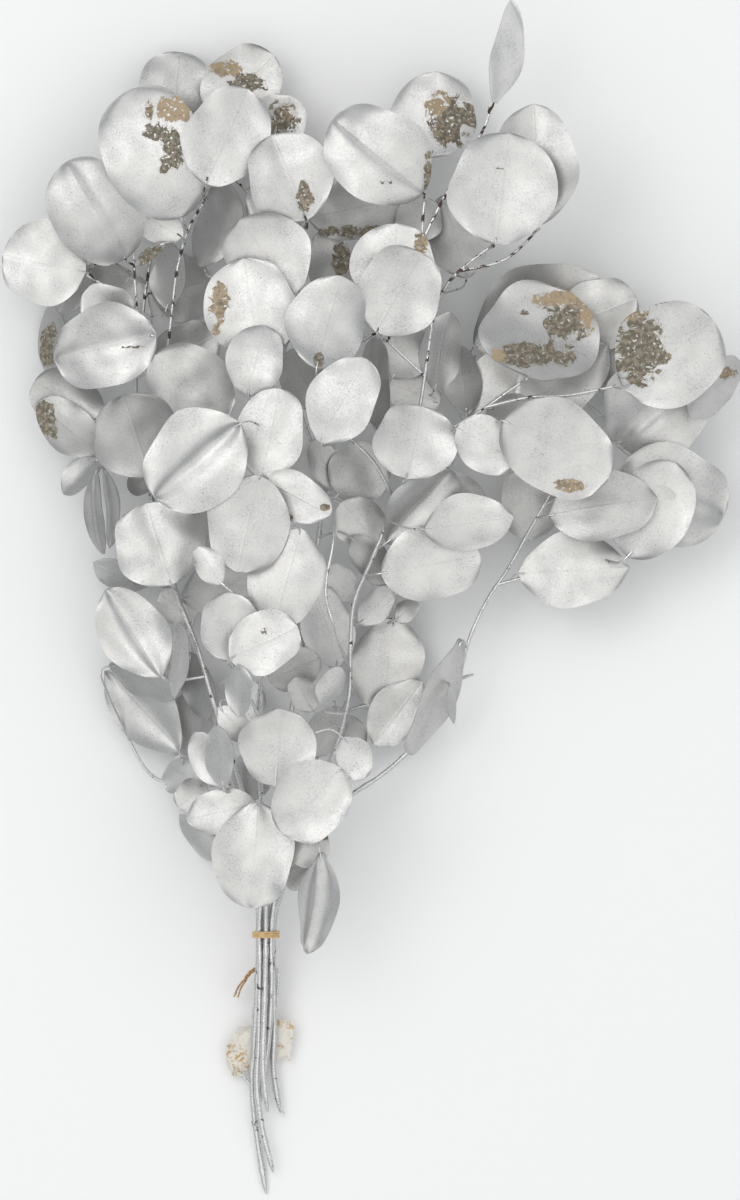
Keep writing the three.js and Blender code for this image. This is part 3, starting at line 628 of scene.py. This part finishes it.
def leaf_shell(row, leaf, number):
    """The leaf's closed shell: a fine blade with a waved margin and a crinkled face."""
    span = math.pi - 2 * END_ANGLE
    ends = [(angle - END_ANGLE) / span for angle in (EDGE_ANGLE, math.pi - EDGE_ANGLE)]
    rows = np.linspace(*ends, LEAF_ROWS)
    t, u = np.meshgrid(rows, np.linspace(-1, 1, LEAF_COLUMNS), indexing="ij")
    flat = row[5:] == ["flat"]
    phase = leaf["phase"]
    half = leaf["width"] / 2
    ripple = RIPPLE * half * u ** 4 * np.sin(13 * t + 5 * phase + 2 * u)
    curl = CURL * half * (draw(number * 5 + 1) - CURL_BIAS) * u ** 6
    height, reach_below, reach_above = FOLDS.get((row[0], row[1]), (0, 1, 1))
    fold = height * np.exp(-(u * half / np.where(u < 0, reach_below, reach_above)) ** 2)
    fold = fold * np.sin(math.pi * np.clip(t, 0, 1)) ** FOLD_FADE
    extra = (ripple + curl + fold) * (0 if flat else 1)
    middle = leaf_points(leaf, u, t, extra).reshape(-1, 3)
    if not flat:
        seed = Vector((number * 3.1, number * 1.7, 0))
        bumps = [noise.noise(Vector(point) / CRINKLE_SIZE + seed) for point in middle.tolist()]
        middle = middle + np.outer(np.array(bumps) * CRINKLE, leaf["normal"])
    side = leaf["normal"] * LEAF_THICKNESS / 2
    points = np.concatenate([middle + side, middle - side])
    count = LEAF_ROWS * LEAF_COLUMNS
    grid = np.arange(count).reshape(LEAF_ROWS, LEAF_COLUMNS)
    top = np.stack([grid[:-1, :-1], grid[:-1, 1:], grid[1:, 1:], grid[1:, :-1]], -1).reshape(-1, 4)
    rim = np.concatenate([grid[0, :-1], grid[:-1, -1], grid[-1, :0:-1], grid[:0:-1, 0]])
    after = np.roll(rim, -1)
    wall = np.stack([rim, rim + count, after + count, after], -1)
    faces = np.concatenate([top, top[:, ::-1] + count, wall])
    depth, tan = bare_field(row, points)
    across = (u * half).ravel()
    along = (t * leaf["length"]).ravel()
    random = draw(number * 11 + 3)
    leaf_place = np.stack([np.tile(u.ravel(), 2), np.tile(t.ravel(), 2), np.zeros(2 * count)], -1)
    return {
        "points": points,
        "faces": faces,
        "uv": np.stack([np.tile(across, 2) / 100 + random, np.tile(along, 2) / 100 + random], -1),
        "leaf": leaf_place,
        "bare": depth,
        "tan": tan,
        "worn": np.zeros(2 * count),
        # Each leaf's painted shade or highlight from its table, times a small random tone.
        "painted_shade": np.full(2 * count, LEAF_PAINTED_SHADE.get((row[0], row[1]), 1.0) * (0.96 + 0.08 * random)),
        "material": 0,
    }


def tube_shell(stations, from_radius, to_radius, sides, knots, cut=0.0):
    """A tapering round bar on a smooth line through the stations, with swollen nodes.

    cut is how far the bar narrows to a sliver at its cut end.
    """
    line = np.array(curve_through(stations, lambda b, c: math.ceil(math.dist(b, c) / TUBE_STEP)))
    steps = np.linalg.norm(np.diff(line, axis=0), axis=1)
    along = np.concatenate([[0], np.cumsum(steps)])
    radius = from_radius + (to_radius - from_radius) * along / along[-1]
    if knots:
        offset = (along + 40 * draw(stations[0][0])) % NODE_SPACING - NODE_SPACING / 2
        radius = radius * (1 + NODE_SWELLING * np.exp(-(offset / NODE_LENGTH) ** 2))
    if cut:
        widening = np.clip(along / cut, 0, 1) ** 0.6
        radius = radius * (SLIVER_RADIUS + (1 - SLIVER_RADIUS) * widening)
    tangents = np.gradient(line, axis=0)
    tangents /= np.linalg.norm(tangents, axis=1)[:, None]
    side = np.cross(tangents[0], [0.3, 0.2, 0.93])
    side /= np.linalg.norm(side)
    angles = np.linspace(0, 2 * math.pi, sides, endpoint=False)
    rings = []
    for centre, tangent, r in zip(line, tangents, radius):
        side = side - tangent * side.dot(tangent)
        side /= np.linalg.norm(side)
        other = np.cross(tangent, side)
        ring = np.outer(np.cos(angles), side) + np.outer(np.sin(angles), other)
        rings.append(centre + r * ring)
    points = np.concatenate(rings + [line[:1], line[-1:]])
    faces = []
    for low in range(0, (len(line) - 1) * sides, sides):
        high = low + sides
        for k in range(sides):
            after = (k + 1) % sides
            faces.append([low + k, low + after, high + after, high + k])
    last = (len(line) - 1) * sides
    first_tip, last_tip = len(points) - 2, len(points) - 1
    caps = [[first_tip, (k + 1) % sides, k] for k in range(sides)]
    caps += [[last_tip, last + k, last + (k + 1) % sides] for k in range(sides)]
    count = len(points)
    worn = np.clip((points[:, 1] - WORN_FROM) / WORN_OVER, 0, 1)
    return {
        "points": points,
        "faces": faces + caps,
        "uv": np.zeros((count, 2)),
        "leaf": np.zeros((count, 3)),
        "bare": np.zeros(count),
        "tan": np.zeros(count),
        "worn": worn,
        "painted_shade": np.ones(count),
        "material": 1,
    }


def make_mesh(name, shells, materials):
    """One mesh object of closed shells, in millimetres of the plan, put in its place."""
    points = np.concatenate([shell["points"] for shell in shells]) * MM + np.array(SHIFT)
    faces = []
    slots = []
    first = 0
    for shell in shells:
        faces.extend([[int(i) + first for i in face] for face in shell["faces"]])
        slots.extend([shell["material"]] * len(shell["faces"]))
        first += len(shell["points"])
    mesh = bpy.data.meshes.new(name)
    mesh.from_pydata(points.tolist(), [], faces)
    mesh.polygons.foreach_set("material_index", slots)
    place = np.concatenate([shell["leaf"] for shell in shells]).astype(np.float32)
    mesh.attributes.new("leaf", "FLOAT_VECTOR", "POINT").data.foreach_set("vector", place.ravel())
    for key in ("bare", "tan", "worn", "painted_shade"):
        values = np.concatenate([shell[key] for shell in shells]).astype(np.float32)
        mesh.attributes.new(key, "FLOAT", "POINT").data.foreach_set("value", values)
    uv = np.concatenate([shell["uv"] for shell in shells])
    corners = np.zeros(len(mesh.loops), dtype=np.int64)
    mesh.loops.foreach_get("vertex_index", corners)
    mesh.uv_layers.new(name="blade").data.foreach_set("uv", uv[corners].astype(np.float32).ravel())
    piece = bpy.data.objects.new(name, mesh)
    bpy.context.scene.collection.objects.link(piece)
    for material in materials:
        mesh.materials.append(material)
    bpy.ops.object.select_all(action="DESELECT")
    piece.select_set(True)
    bpy.context.view_layer.objects.active = piece
    bpy.ops.object.shade_smooth_by_angle(angle=SMOOTH_ANGLE)
    return piece


# The sockets of a colour mix.
MIX_COLOUR_A = 6
MIX_COLOUR_B = 7
MIX_COLOUR = 2


class Value:
    """A socket of a material's node tree. Sums of values add their Math nodes."""

    def __init__(self, tree, socket=None):
        self.tree = tree
        self.socket = socket

    def node(self, kind, settings=None, inputs=None, output=0):
        made = self.tree.nodes.new(kind)
        for name, value in (settings or {}).items():
            setattr(made, name, value)
        for name, value in (inputs or {}).items():
            socket = made.inputs[name]
            if isinstance(value, Value):
                self.tree.links.new(value.socket, socket)
            else:
                socket.default_value = value
        return Value(self.tree, made.outputs[output])

    def math(self, operation, *values):
        return self.node("ShaderNodeMath", {"operation": operation}, dict(enumerate(values)))

    def __add__(self, other):
        return self.math("ADD", self, other)

    def __radd__(self, other):
        return self.math("ADD", other, self)

    def __sub__(self, other):
        return self.math("SUBTRACT", self, other)

    def __rsub__(self, other):
        return self.math("SUBTRACT", other, self)

    def __mul__(self, other):
        return self.math("MULTIPLY", self, other)

    def __rmul__(self, other):
        return self.math("MULTIPLY", other, self)

    def step(self, low, high):
        """0 below low, 1 above high, smooth between."""
        settings = {"interpolation_type": "SMOOTHSTEP"}
        inputs = {"Value": self, "From Min": low, "From Max": high}
        return self.node("ShaderNodeMapRange", settings, inputs)

    def blend(self, one, other):
        """The colour one where this value is 0, and other where it is 1."""
        inputs = {"Factor": self, MIX_COLOUR_A: one, MIX_COLOUR_B: other}
        return self.node("ShaderNodeMix", {"data_type": "RGBA"}, inputs, output=MIX_COLOUR)


def start_material(name, metallic, roughness):
    """A new material with its shader's own metallic and roughness, and a handle on its tree."""
    material = bpy.data.materials.new(name)
    material.use_nodes = True
    shader = material.node_tree.nodes["Principled BSDF"]
    shader.inputs["Metallic"].default_value = metallic
    shader.inputs["Roughness"].default_value = roughness
    return material, shader, Value(material.node_tree)


def feed(value, shader, name):
    """Links a value to a named socket of the shader."""
    value.tree.links.new(value.socket, shader.inputs[name])


def place_on(tree):
    """The place on the piece, on which its patterns lie."""
    return tree.node("ShaderNodeTexCoord", output="Object")


def cloud_on(tree, where, scale, detail, **more):
    """A cloudy pattern, from 0 to 1, with its scale per metre."""
    inputs = {"Vector": where, "Scale": scale, "Detail": detail}
    return tree.node("ShaderNodeTexNoise", {}, {**inputs, **more})


def painted_on(tree, name):
    """What the piece's own mesh says of each point under this name."""
    return tree.node("ShaderNodeAttribute", {"attribute_name": name}, output="Fac")


def feed_relief(relief, strength, depth, shader):
    """Raises a pattern on the surface by up to depth, in metres."""
    inputs = {"Height": relief, "Strength": strength, "Distance": depth}
    feed(relief.node("ShaderNodeBump", {}, inputs), shader, "Normal")


SILVER = (0.64, 0.635, 0.62, 1)
SILVER_DULL = (0.55, 0.55, 0.547, 1)
SPECK = (0.25, 0.24, 0.22, 1)
BARE_OLIVE = (0.285, 0.25, 0.19, 1)
BARE_DARK = (0.155, 0.133, 0.098, 1)
BARE_TAN = (0.44, 0.335, 0.215, 1)
RIM_BROWN = (0.30, 0.25, 0.19, 1)


def silver_leaf_paint():
    """Satin silver paint over a veined leaf, with pinholes, bare patches and each leaf's painted
    shade or highlight.
    """
    material, shader, tree = start_material("silver_leaf_paint", 0.8, 0.42)
    where = place_on(tree)
    cloud = cloud_on(tree, where, 70.0, 3.0)
    grain = cloud_on(tree, where, 900.0, 2.0)
    pits = cloud_on(tree, where, 1500.0, 1.0)

    # The midrib, the side veins and the fine net between them.
    leaf_place = tree.node("ShaderNodeAttribute", {"attribute_name": "leaf"}, output="Vector")
    u, v = (tree.node("ShaderNodeSeparateXYZ", {}, {"Vector": leaf_place}, output=axis)
            for axis in "XY")
    away = tree.math("ABSOLUTE", u)
    midrib = 1 - away.step(0.012, 0.05)
    side = tree.math("FRACT", v * 9 - away * 3.2)
    vein = tree.math("ABSOLUTE", side - 0.5).step(0.44, 0.5) * (1 - away.step(0.8, 1.0))
    blade = tree.node("ShaderNodeUVMap", {"uv_map": "blade"})
    cells = {"Vector": blade, "Scale": 38.0}
    net = tree.node("ShaderNodeTexVoronoi", {"feature": "DISTANCE_TO_EDGE"}, cells)
    net_line = 1 - net.step(0.0, 0.09)

    # The ragged patches that the paint missed, with crumbs of paint inside and a thin brown rim.
    bare = painted_on(tree, "bare")
    tan = painted_on(tree, "tan")
    ragged = cloud_on(tree, where, 95.0, 5.0, Roughness=0.6, Distortion=1.1)
    fleck = cloud_on(tree, where, 420.0, 2.0)
    reach = bare * 2.1 + ragged * 8 + fleck * 0.8
    crumbs = cloud_on(tree, where, 560.0, 3.0)
    missed = reach.step(4.85, 5.05) * (1 - crumbs.step(0.6, 0.64))
    rim = reach.step(4.45, 4.55) * (1 - reach.step(4.6, 4.7)) * bare.step(-0.6, 0.2)
    brown = (tan + (cloud - 0.5) * 1.2 + (fleck - 0.5) * 0.9).step(0.2, 0.9)
    olive = fleck.step(0.42, 0.62).blend(BARE_DARK, BARE_OLIVE)
    leaf_skin = brown.blend(olive, BARE_TAN)

    # The paint itself, cloudy and grainy, times each leaf's share of brightness: a painted shade or
    # highlight for how the light falls on that leaf, with a small random tone.
    tint = (cloud * 0.6 + grain * 0.5).step(0.35, 0.8).blend(SILVER, SILVER_DULL)
    painted_shade = painted_on(tree, "painted_shade")
    grey = tree.node("ShaderNodeCombineColor", {}, {"Red": painted_shade, "Green": painted_shade, "Blue": painted_shade})
    multiply = {"data_type": "RGBA", "blend_type": "MULTIPLY"}
    inputs = {"Factor": 1.0, MIX_COLOUR_A: tint, MIX_COLOUR_B: grey}
    lit = tree.node("ShaderNodeMix", multiply, inputs, output=MIX_COLOUR)
    veined = (net_line * 0.03 + midrib * 0.05 + vein * 0.02).blend(lit, SPECK)
    speck = (pits + cloud * 0.35).step(0.84, 0.89)
    painted = (speck * 0.65).blend(veined, SPECK)
    rimmed = (rim * 0.55).blend(painted, RIM_BROWN)

    feed(missed.blend(rimmed, leaf_skin), shader, "Base Color")
    feed((1 - missed * 0.95) * (0.84 - grain * 0.12), shader, "Metallic")
    feed(0.36 + grain * 0.16 + missed * 0.2, shader, "Roughness")
    relief = (net_line * -0.05 + vein * 0.05 + midrib * 0.22 + grain * 0.2 + cloud * 0.5
              - missed * 0.5)
    feed_relief(relief, 0.55, 0.0004, shader)
    return material


SILVER_BARK = (0.82, 0.82, 0.815, 1)
BARE_BARK = (0.065, 0.042, 0.028, 1)


def silver_bark_paint():
    """Silver paint over thin bark, rubbed off to dark brown in spots, more of them towards the top
    of the bunch.
    """
    material, shader, tree = start_material("silver_bark_paint", 0.8, 0.32)
    where = place_on(tree)
    cloud = cloud_on(tree, where, 230.0, 4.0)
    grain = cloud_on(tree, where, 1400.0, 2.0)
    worn = painted_on(tree, "worn")
    rubbed = (cloud + grain * 0.25 + worn * 0.17).step(0.76, 0.82)
    tint = grain.step(0.3, 0.7).blend(SILVER_BARK, SILVER_DULL)
    feed(rubbed.blend(tint, BARE_BARK), shader, "Base Color")
    feed(0.85 - rubbed * 0.8, shader, "Metallic")
    feed(0.28 + grain * 0.14 + rubbed * 0.3, shader, "Roughness")
    feed_relief(grain * 0.5 + cloud - rubbed, 0.5, 0.0003, shader)
    return material


# The cut ends: how long the sliver at each is, and their stubs and forks, each from its root to
# its tip, with its radius.
CUT_SLIVER = 9
STUBS = {
    "stem_left": [
        ([-65.8, -272, 7.4], [-71.5, -264, 9.5], 1.3),
        ([-70, -266, 9], [-74.5, -262.5, 9.5], 0.7),
        ([-70, -266.5, 9], [-71.5, -260.5, 10], 0.6),
        ([-62.9, -226, 16.4], [-60.6, -225.2, 17.8], 1.1),
        ([-63.3, -227, 15], [-66, -273, 7.4], 2.4),
    ],
    "stem_right": [
        ([-51.5, -281, 5.6], [-47.8, -286.5, 6.2], 0.9),
        ([-53.5, -208, 18.4], [-49.8, -204, 19.4], 0.8),
        ([-50.6, -205, 19], [-52.4, -231, 15.5], 0.8),
    ],
    "stem_centre": [([-56.6, -308, 9], [-54.6, -312, 9.6], 1.2)],
}

laid = {}
leaf_number = 0
stem_materials = [silver_leaf_paint(), silver_bark_paint()]
for stem in STEMS:
    own = {}
    leaves = {}
    main = main_line(stem)
    lift_line(main, laid, STEM_RADIUS, lambda i: main[i][1] < FAN_END)
    stations = stations_of(main, lambda i: main[i][1] < FAN_END)
    lines = [between(stations)]
    shells = [tube_shell(stations, STEM_RADIUS, STEM_TIP_RADIUS, STEM_SIDES, True, CUT_SLIVER)]
    for start, stop, radius in STUBS.get(stem["name"], ()):
        stub = [start, mix(start, stop, 0.5), stop]
        shells.append(tube_shell(stub, radius, radius * STUB_TAPER, STUB_SIDES, False))
    for twig in stem["twigs"]:
        root = attach_point(lines, *twig[0])
        rise = (root[2] + stem["height"]) / 2
        points = [root] + [[*point, max(rise, root[2])][:3] for point in twig[1:]]
        line = smooth_line(points, FINE)
        lift_line(line, laid, TWIG_RADIUS, lambda i: i == 0)
        twig_stations = stations_of(line, lambda i: i == 0)
        lines.append(between(twig_stations))
        shells.append(tube_shell(twig_stations, TWIG_RADIUS, TWIG_TIP_RADIUS, TWIG_SIDES, True))
    for line in lines:
        mark_line(own, line, STEM_RADIUS)
    for row in stem["leaves"]:
        leaf_number += 1
        leaf = leaf_form(row, leaf_number)
        start = attach_point(lines, row[0], row[1])
        flat = row[5:] == ["flat"]
        z = 0 if flat else start[2] + LEAST_STAND + STAND_SPREAD * draw(leaf_number)
        samples = leaf_samples(leaf)
        for x, y, lift in samples:
            under = -GAP if flat else max(top_around(laid, x, y), top_around(own, x, y))
            z = max(z, under + GAP + BLADE_THICKNESS / 2 - lift)
        leaf["base"][2] = z
        petiole = petiole_line(start, leaf, laid, leaves)
        for x, y, lift in samples:
            mark_top(own, x, y, lift + z + BLADE_THICKNESS / 2)
            mark_top(leaves, x, y, lift + z + BLADE_THICKNESS / 2)
        mark_line(own, petiole, PETIOLE_RADIUS)
        shells.append(tube_shell(petiole, PETIOLE_RADIUS, PETIOLE_TIP_RADIUS, PETIOLE_SIDES, False))
        shells.append(leaf_shell(row, leaf, leaf_number))
    for key, top in own.items():
        laid[key] = max(top, laid.get(key, top))
    piece = make_mesh(stem["name"].replace("stem", "leafy_stem"), shells, stem_materials)
    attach(piece, "root")
    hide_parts(stem["name"])

# The elastic band: a thin tan rubber band, wound three times round the stems and left slack
# enough to lie in three strands side by side.
BAND_RADIUS = 7.1
STRAND_RADIUS = 0.68
STRAND_SPACING = 1.3
STRAND_TILT = 0.012
STRAND_TURN = 0.02
BAND_TAN = (0.80, 0.58, 0.31, 1)
BAND_BROWN = (0.68, 0.46, 0.22, 1)
band_strands = []
for number in (-1, 0, 1):
    bpy.ops.mesh.primitive_torus_add(
        major_radius=BAND_RADIUS * MM,
        minor_radius=STRAND_RADIUS * MM,
        major_segments=72,
        minor_segments=12,
        location=(band_middle.x, band_middle.y + number * STRAND_SPACING * MM, band_middle.z),
        rotation=(math.pi / 2 + number * STRAND_TILT, 0, number * STRAND_TURN),
    )
    band_strands.append(bpy.context.object)
for strand in band_strands:
    strand.select_set(True)
bpy.ops.object.transform_apply(location=True, rotation=True, scale=True)
bpy.context.view_layer.objects.active = band_strands[0]
bpy.ops.object.join()
band = bpy.context.object
band.name = "rubber_band"
bpy.ops.object.shade_smooth()

band_rubber, band_shader, tree = start_material("band_rubber", 0.0, 0.55)
dust = cloud_on(tree, place_on(tree), 400.0, 3.0)
feed(dust.step(0.35, 0.7).blend(BAND_TAN, BAND_BROWN), band_shader, "Base Color")
feed_relief(dust, 0.3, 0.0002, band_shader)
band.data.materials.append(band_rubber)
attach(band, "root")
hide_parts("elastic_band")

# The twine's tail: three twisted plies of brown jute that come out from under the stems just
# below the band, untwist along their length and end frayed.
TWINE = [[-56, -203.5, 13.6], [-61, -204.5, 13.5], [-66.5, -207.5, 14.6], [-70, -212, 14],
         [-73, -216, 12], [-75, -221, 9]]
TWINE_STEP = 1.2
PLIES = 3
PLY_RADIUS = 0.66
PLY_END = 0.7
PLY_SIDES = 7
PLY_OFFSET = 0.62
PLY_FLATNESS = 0.6
PLY_TURN = 2.094
TWIST = 0.9
UNTWISTED = 0.55
FRAY = 0.9
FIBRES = 7
FIBRE_RADIUS = 0.11
FIBRE_TIP_RADIUS = 0.04
FIBRE_SIDES = 4
FIBRE_LENGTH = 1.6
FIBRE_SPREAD = 1.8
JUTE_BROWN = (0.30, 0.16, 0.07, 1)
JUTE_TAN = (0.62, 0.40, 0.22, 1)
centre_line = [Vector(point) for point in smooth_line(TWINE, TWINE_STEP)]
plies = []
for ply in range(PLIES):
    stations = []
    for i, point in enumerate(centre_line):
        share = i / (len(centre_line) - 1)
        ahead = centre_line[min(i + 1, len(centre_line) - 1)] - centre_line[max(i - 1, 0)]
        side = ahead.cross(Vector((0, 0, 1))).normalized()
        other = side.cross(ahead).normalized()
        loose = max(0.0, share - UNTWISTED) / (1 - UNTWISTED)
        turn = ply * PLY_TURN + TWIST * min(i, UNTWISTED * len(centre_line))
        away = PLY_OFFSET + FRAY * loose * (0.5 if ply == 1 else 1.0)
        lift = other * math.sin(turn) * away * PLY_FLATNESS
        stations.append(list(point + side * math.cos(turn) * away + lift))
    plies.append(tube_shell(stations, PLY_RADIUS, PLY_RADIUS * PLY_END, PLY_SIDES, False))
    for fibre in range(FIBRES):
        root = Vector(stations[-2 - fibre])
        across, along, up = draw(fibre + ply * 9), draw(fibre * 3 + ply), draw(fibre + ply * 5)
        spread = Vector((across - 0.5, along - 0.7, up - 0.5))
        ahead = (Vector(stations[-1]) - Vector(stations[-3])).normalized()
        tip = root + ahead * FIBRE_LENGTH + spread * FIBRE_SPREAD
        strand = [list(root), mix(root, tip, 0.5), list(tip)]
        plies.append(tube_shell(strand, FIBRE_RADIUS, FIBRE_TIP_RADIUS, FIBRE_SIDES, False))

jute, jute_shader, tree = start_material("brown_jute", 0.0, 0.9)
fibres = cloud_on(tree, place_on(tree), 900.0, 4.0)
feed(fibres.step(0.35, 0.65).blend(JUTE_BROWN, JUTE_TAN), jute_shader, "Base Color")
feed_relief(fibres, 0.7, 0.0004, jute_shader)
twine = make_mesh("jute_tail", plies, [jute, jute])
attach(twine, "root")
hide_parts("twine_tail")

# The scrap of wrapping paper: thin off-white paper with tan flecks, torn along its lower edge,
# crumpled on the left, lying under the bare stems.
PAPER = [[-42, -235], [-45, -257], [-49, -254], [-52, -258], [-58, -255], [-64, -259],
         [-68, -261], [-72, -266], [-77, -265], [-79, -261], [-81, -251], [-77, -245], [-73, -238],
         [-66, -237], [-59, -239], [-52, -234]]
PAPER_SLOPE = 0.16
PAPER_LEVEL = 5.15
PAPER_LEVEL_Y = -262
PAPER_THICKNESS = 0.25
PAPER_STEP = 1.1
PAPER_CORNER = (-82, -267)
PAPER_COLUMNS = 40
PAPER_ROWS = 30
STAGGER = 0.3
TEAR = 0.7
STEMS_MIDDLE = -58.5
STEMS_HALF = 6
RIGHT_CRUMPLE = 0.4
LUMP_SIZE = 5
LUMP_HEIGHT = 2.4
CREASE_SIZE = 2.6
CREASE_HEIGHT = 2.6
FLUTE_HEIGHT = 0.25
CREASE_ANGLE = math.radians(35)
PAPER_WHITE = (0.80, 0.77, 0.71, 1)
PAPER_FLECK = (0.57, 0.39, 0.20, 1)


def paper_height(x, y):
    """The paper lies on a slope under the stems; clear of them it is crumpled."""
    clear = min(1.0, max(0.0, (abs(x - STEMS_MIDDLE) - STEMS_HALF) / STEMS_HALF))
    left = 1.0 if x < TIE_X else RIGHT_CRUMPLE
    lumps = noise.noise(Vector((x / LUMP_SIZE, y / LUMP_SIZE, 3.0)))
    creases = abs(noise.noise(Vector((x / CREASE_SIZE, y / CREASE_SIZE, 8.0)))) - 0.2
    flutes = FLUTE_HEIGHT * math.sin(x * 2.1 + y * 0.3) * (1 - left)
    crumple = clear * (left * (LUMP_HEIGHT * lumps + CREASE_HEIGHT * creases) + flutes)
    return PAPER_LEVEL + PAPER_SLOPE * (y - PAPER_LEVEL_Y) + crumple


edge = []
for a, b in zip(PAPER, PAPER[1:] + PAPER[:1]):
    steps = max(1, round(math.dist(a, b) / PAPER_STEP))
    for k in range(steps):
        x, y = mix(a, b, k / steps)
        torn_x = TEAR * (draw(x * 3 + y) - 0.5)
        torn_y = TEAR * (draw(x - y * 2) - 0.5)
        edge.append(Vector((x + torn_x, y + torn_y)))
inner = []
for i in range(PAPER_COLUMNS):
    for j in range(PAPER_ROWS):
        x = PAPER_CORNER[0] + i * PAPER_STEP + STAGGER * (j % 2)
        inner.append(Vector((x, PAPER_CORNER[1] + j * PAPER_STEP)))
edge_pairs = [(i, (i + 1) % len(edge)) for i in range(len(edge))]
points, _, faces, _, _, _ = delaunay_2d_cdt(edge + inner, edge_pairs, [], 1, 0.001)
places = [Vector((p.x, p.y, paper_height(p.x, p.y))) * MM + SHIFT for p in points]
mesh = bpy.data.meshes.new("paper_sheet")
mesh.from_pydata(places, [], faces)
paper = bpy.data.objects.new("paper_sheet", mesh)
bpy.context.scene.collection.objects.link(paper)
bpy.ops.object.select_all(action="DESELECT")
paper.select_set(True)
bpy.context.view_layer.objects.active = paper
bpy.ops.object.modifier_add(type="SOLIDIFY")
paper.modifiers["Solidify"].thickness = PAPER_THICKNESS * MM
paper.modifiers["Solidify"].offset = 0
bpy.ops.object.modifier_apply(modifier="Solidify")
bpy.ops.object.shade_smooth_by_angle(angle=CREASE_ANGLE)

paper_stock, paper_shader, tree = start_material("flecked_paper", 0.0, 0.85)
where = place_on(tree)
stain = cloud_on(tree, where, 110.0, 5.0, Roughness=0.7, Distortion=0.8)
grain = cloud_on(tree, where, 700.0, 2.0)
fleck = (stain + grain * 0.25).step(0.61, 0.72)
feed(fleck.blend(PAPER_WHITE, PAPER_FLECK), paper_shader, "Base Color")
feed_relief(grain, 0.3, 0.0002, paper_shader)
paper.data.materials.append(paper_stock)
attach(paper, "root")
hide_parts("paper_scrap")

# The floor is a plain pale sheet, with soft studio light from above and a dimmer room around.
FLOOR_SIZE = 6.0
FLOOR_LEVEL = -0.5 * MM
FLOOR_WHITE = (0.95, 0.95, 0.95, 1)
ROOM_COOL = (0.90, 0.95, 1.0, 1)
CEILING_WARM = (1.0, 0.995, 0.98, 1)
ROOM_LIGHT = 0.38
CEILING_LIGHT = 0.88
LAMP_AT = (-0.9, 0.7, 2.2)
LAMP_SIZE = 1.1
LAMP_WATTS = 8

bpy.ops.mesh.primitive_plane_add(size=FLOOR_SIZE, location=(0, 0, FLOOR_LEVEL))
floor = bpy.context.object
floor.name = "floor"
floor_paint, floor_shader, _ = start_material("floor_paper", 0.0, 0.9)
floor_shader.inputs["Base Color"].default_value = FLOOR_WHITE
floor.data.materials.append(floor_paint)

world = bpy.data.worlds.new("studio")
bpy.context.scene.world = world
world.use_nodes = True
sky = Value(world.node_tree)
direction = sky.node("ShaderNodeTexCoord", output="Generated")
height = sky.node("ShaderNodeSeparateXYZ", {}, {"Vector": direction}, output="Z")
glow = height.step(0.35, 0.95)
background = world.node_tree.nodes["Background"]
feed(glow.blend(ROOM_COOL, CEILING_WARM), background, "Color")
feed(glow * CEILING_LIGHT + ROOM_LIGHT, background, "Strength")

bpy.ops.object.light_add(type="AREA", location=LAMP_AT)
lamp = bpy.context.object
lamp.name = "softbox"
lamp.data.shape = "SQUARE"
lamp.data.size = LAMP_SIZE
lamp.data.energy = LAMP_WATTS
lamp.visible_camera = False
lamp.rotation_euler = (-Vector(LAMP_AT)).to_track_quat("-Z", "Y").to_euler()

# The camera looks straight down from far above, its picture measured at the leaves' middle height.
PICTURE_HEIGHT = 663.8 * MM
PICTURE_MIDDLE = Vector((-0.28, -0.83, 0)) * MM + SHIFT
LEAF_LEVEL = 0.045
CAMERA_AWAY = 8.0
SENSOR = 36.0

bpy.ops.object.camera_add(
    location=(PICTURE_MIDDLE.x, PICTURE_MIDDLE.y, LEAF_LEVEL + CAMERA_AWAY),
    rotation=(0, 0, 0),
)
camera = bpy.context.object
camera.data.sensor_width = SENSOR
camera.data.lens = SENSOR * CAMERA_AWAY / PICTURE_HEIGHT
bpy.context.scene.camera = camera
bpy.context.scene.view_settings.view_transform = "Standard"
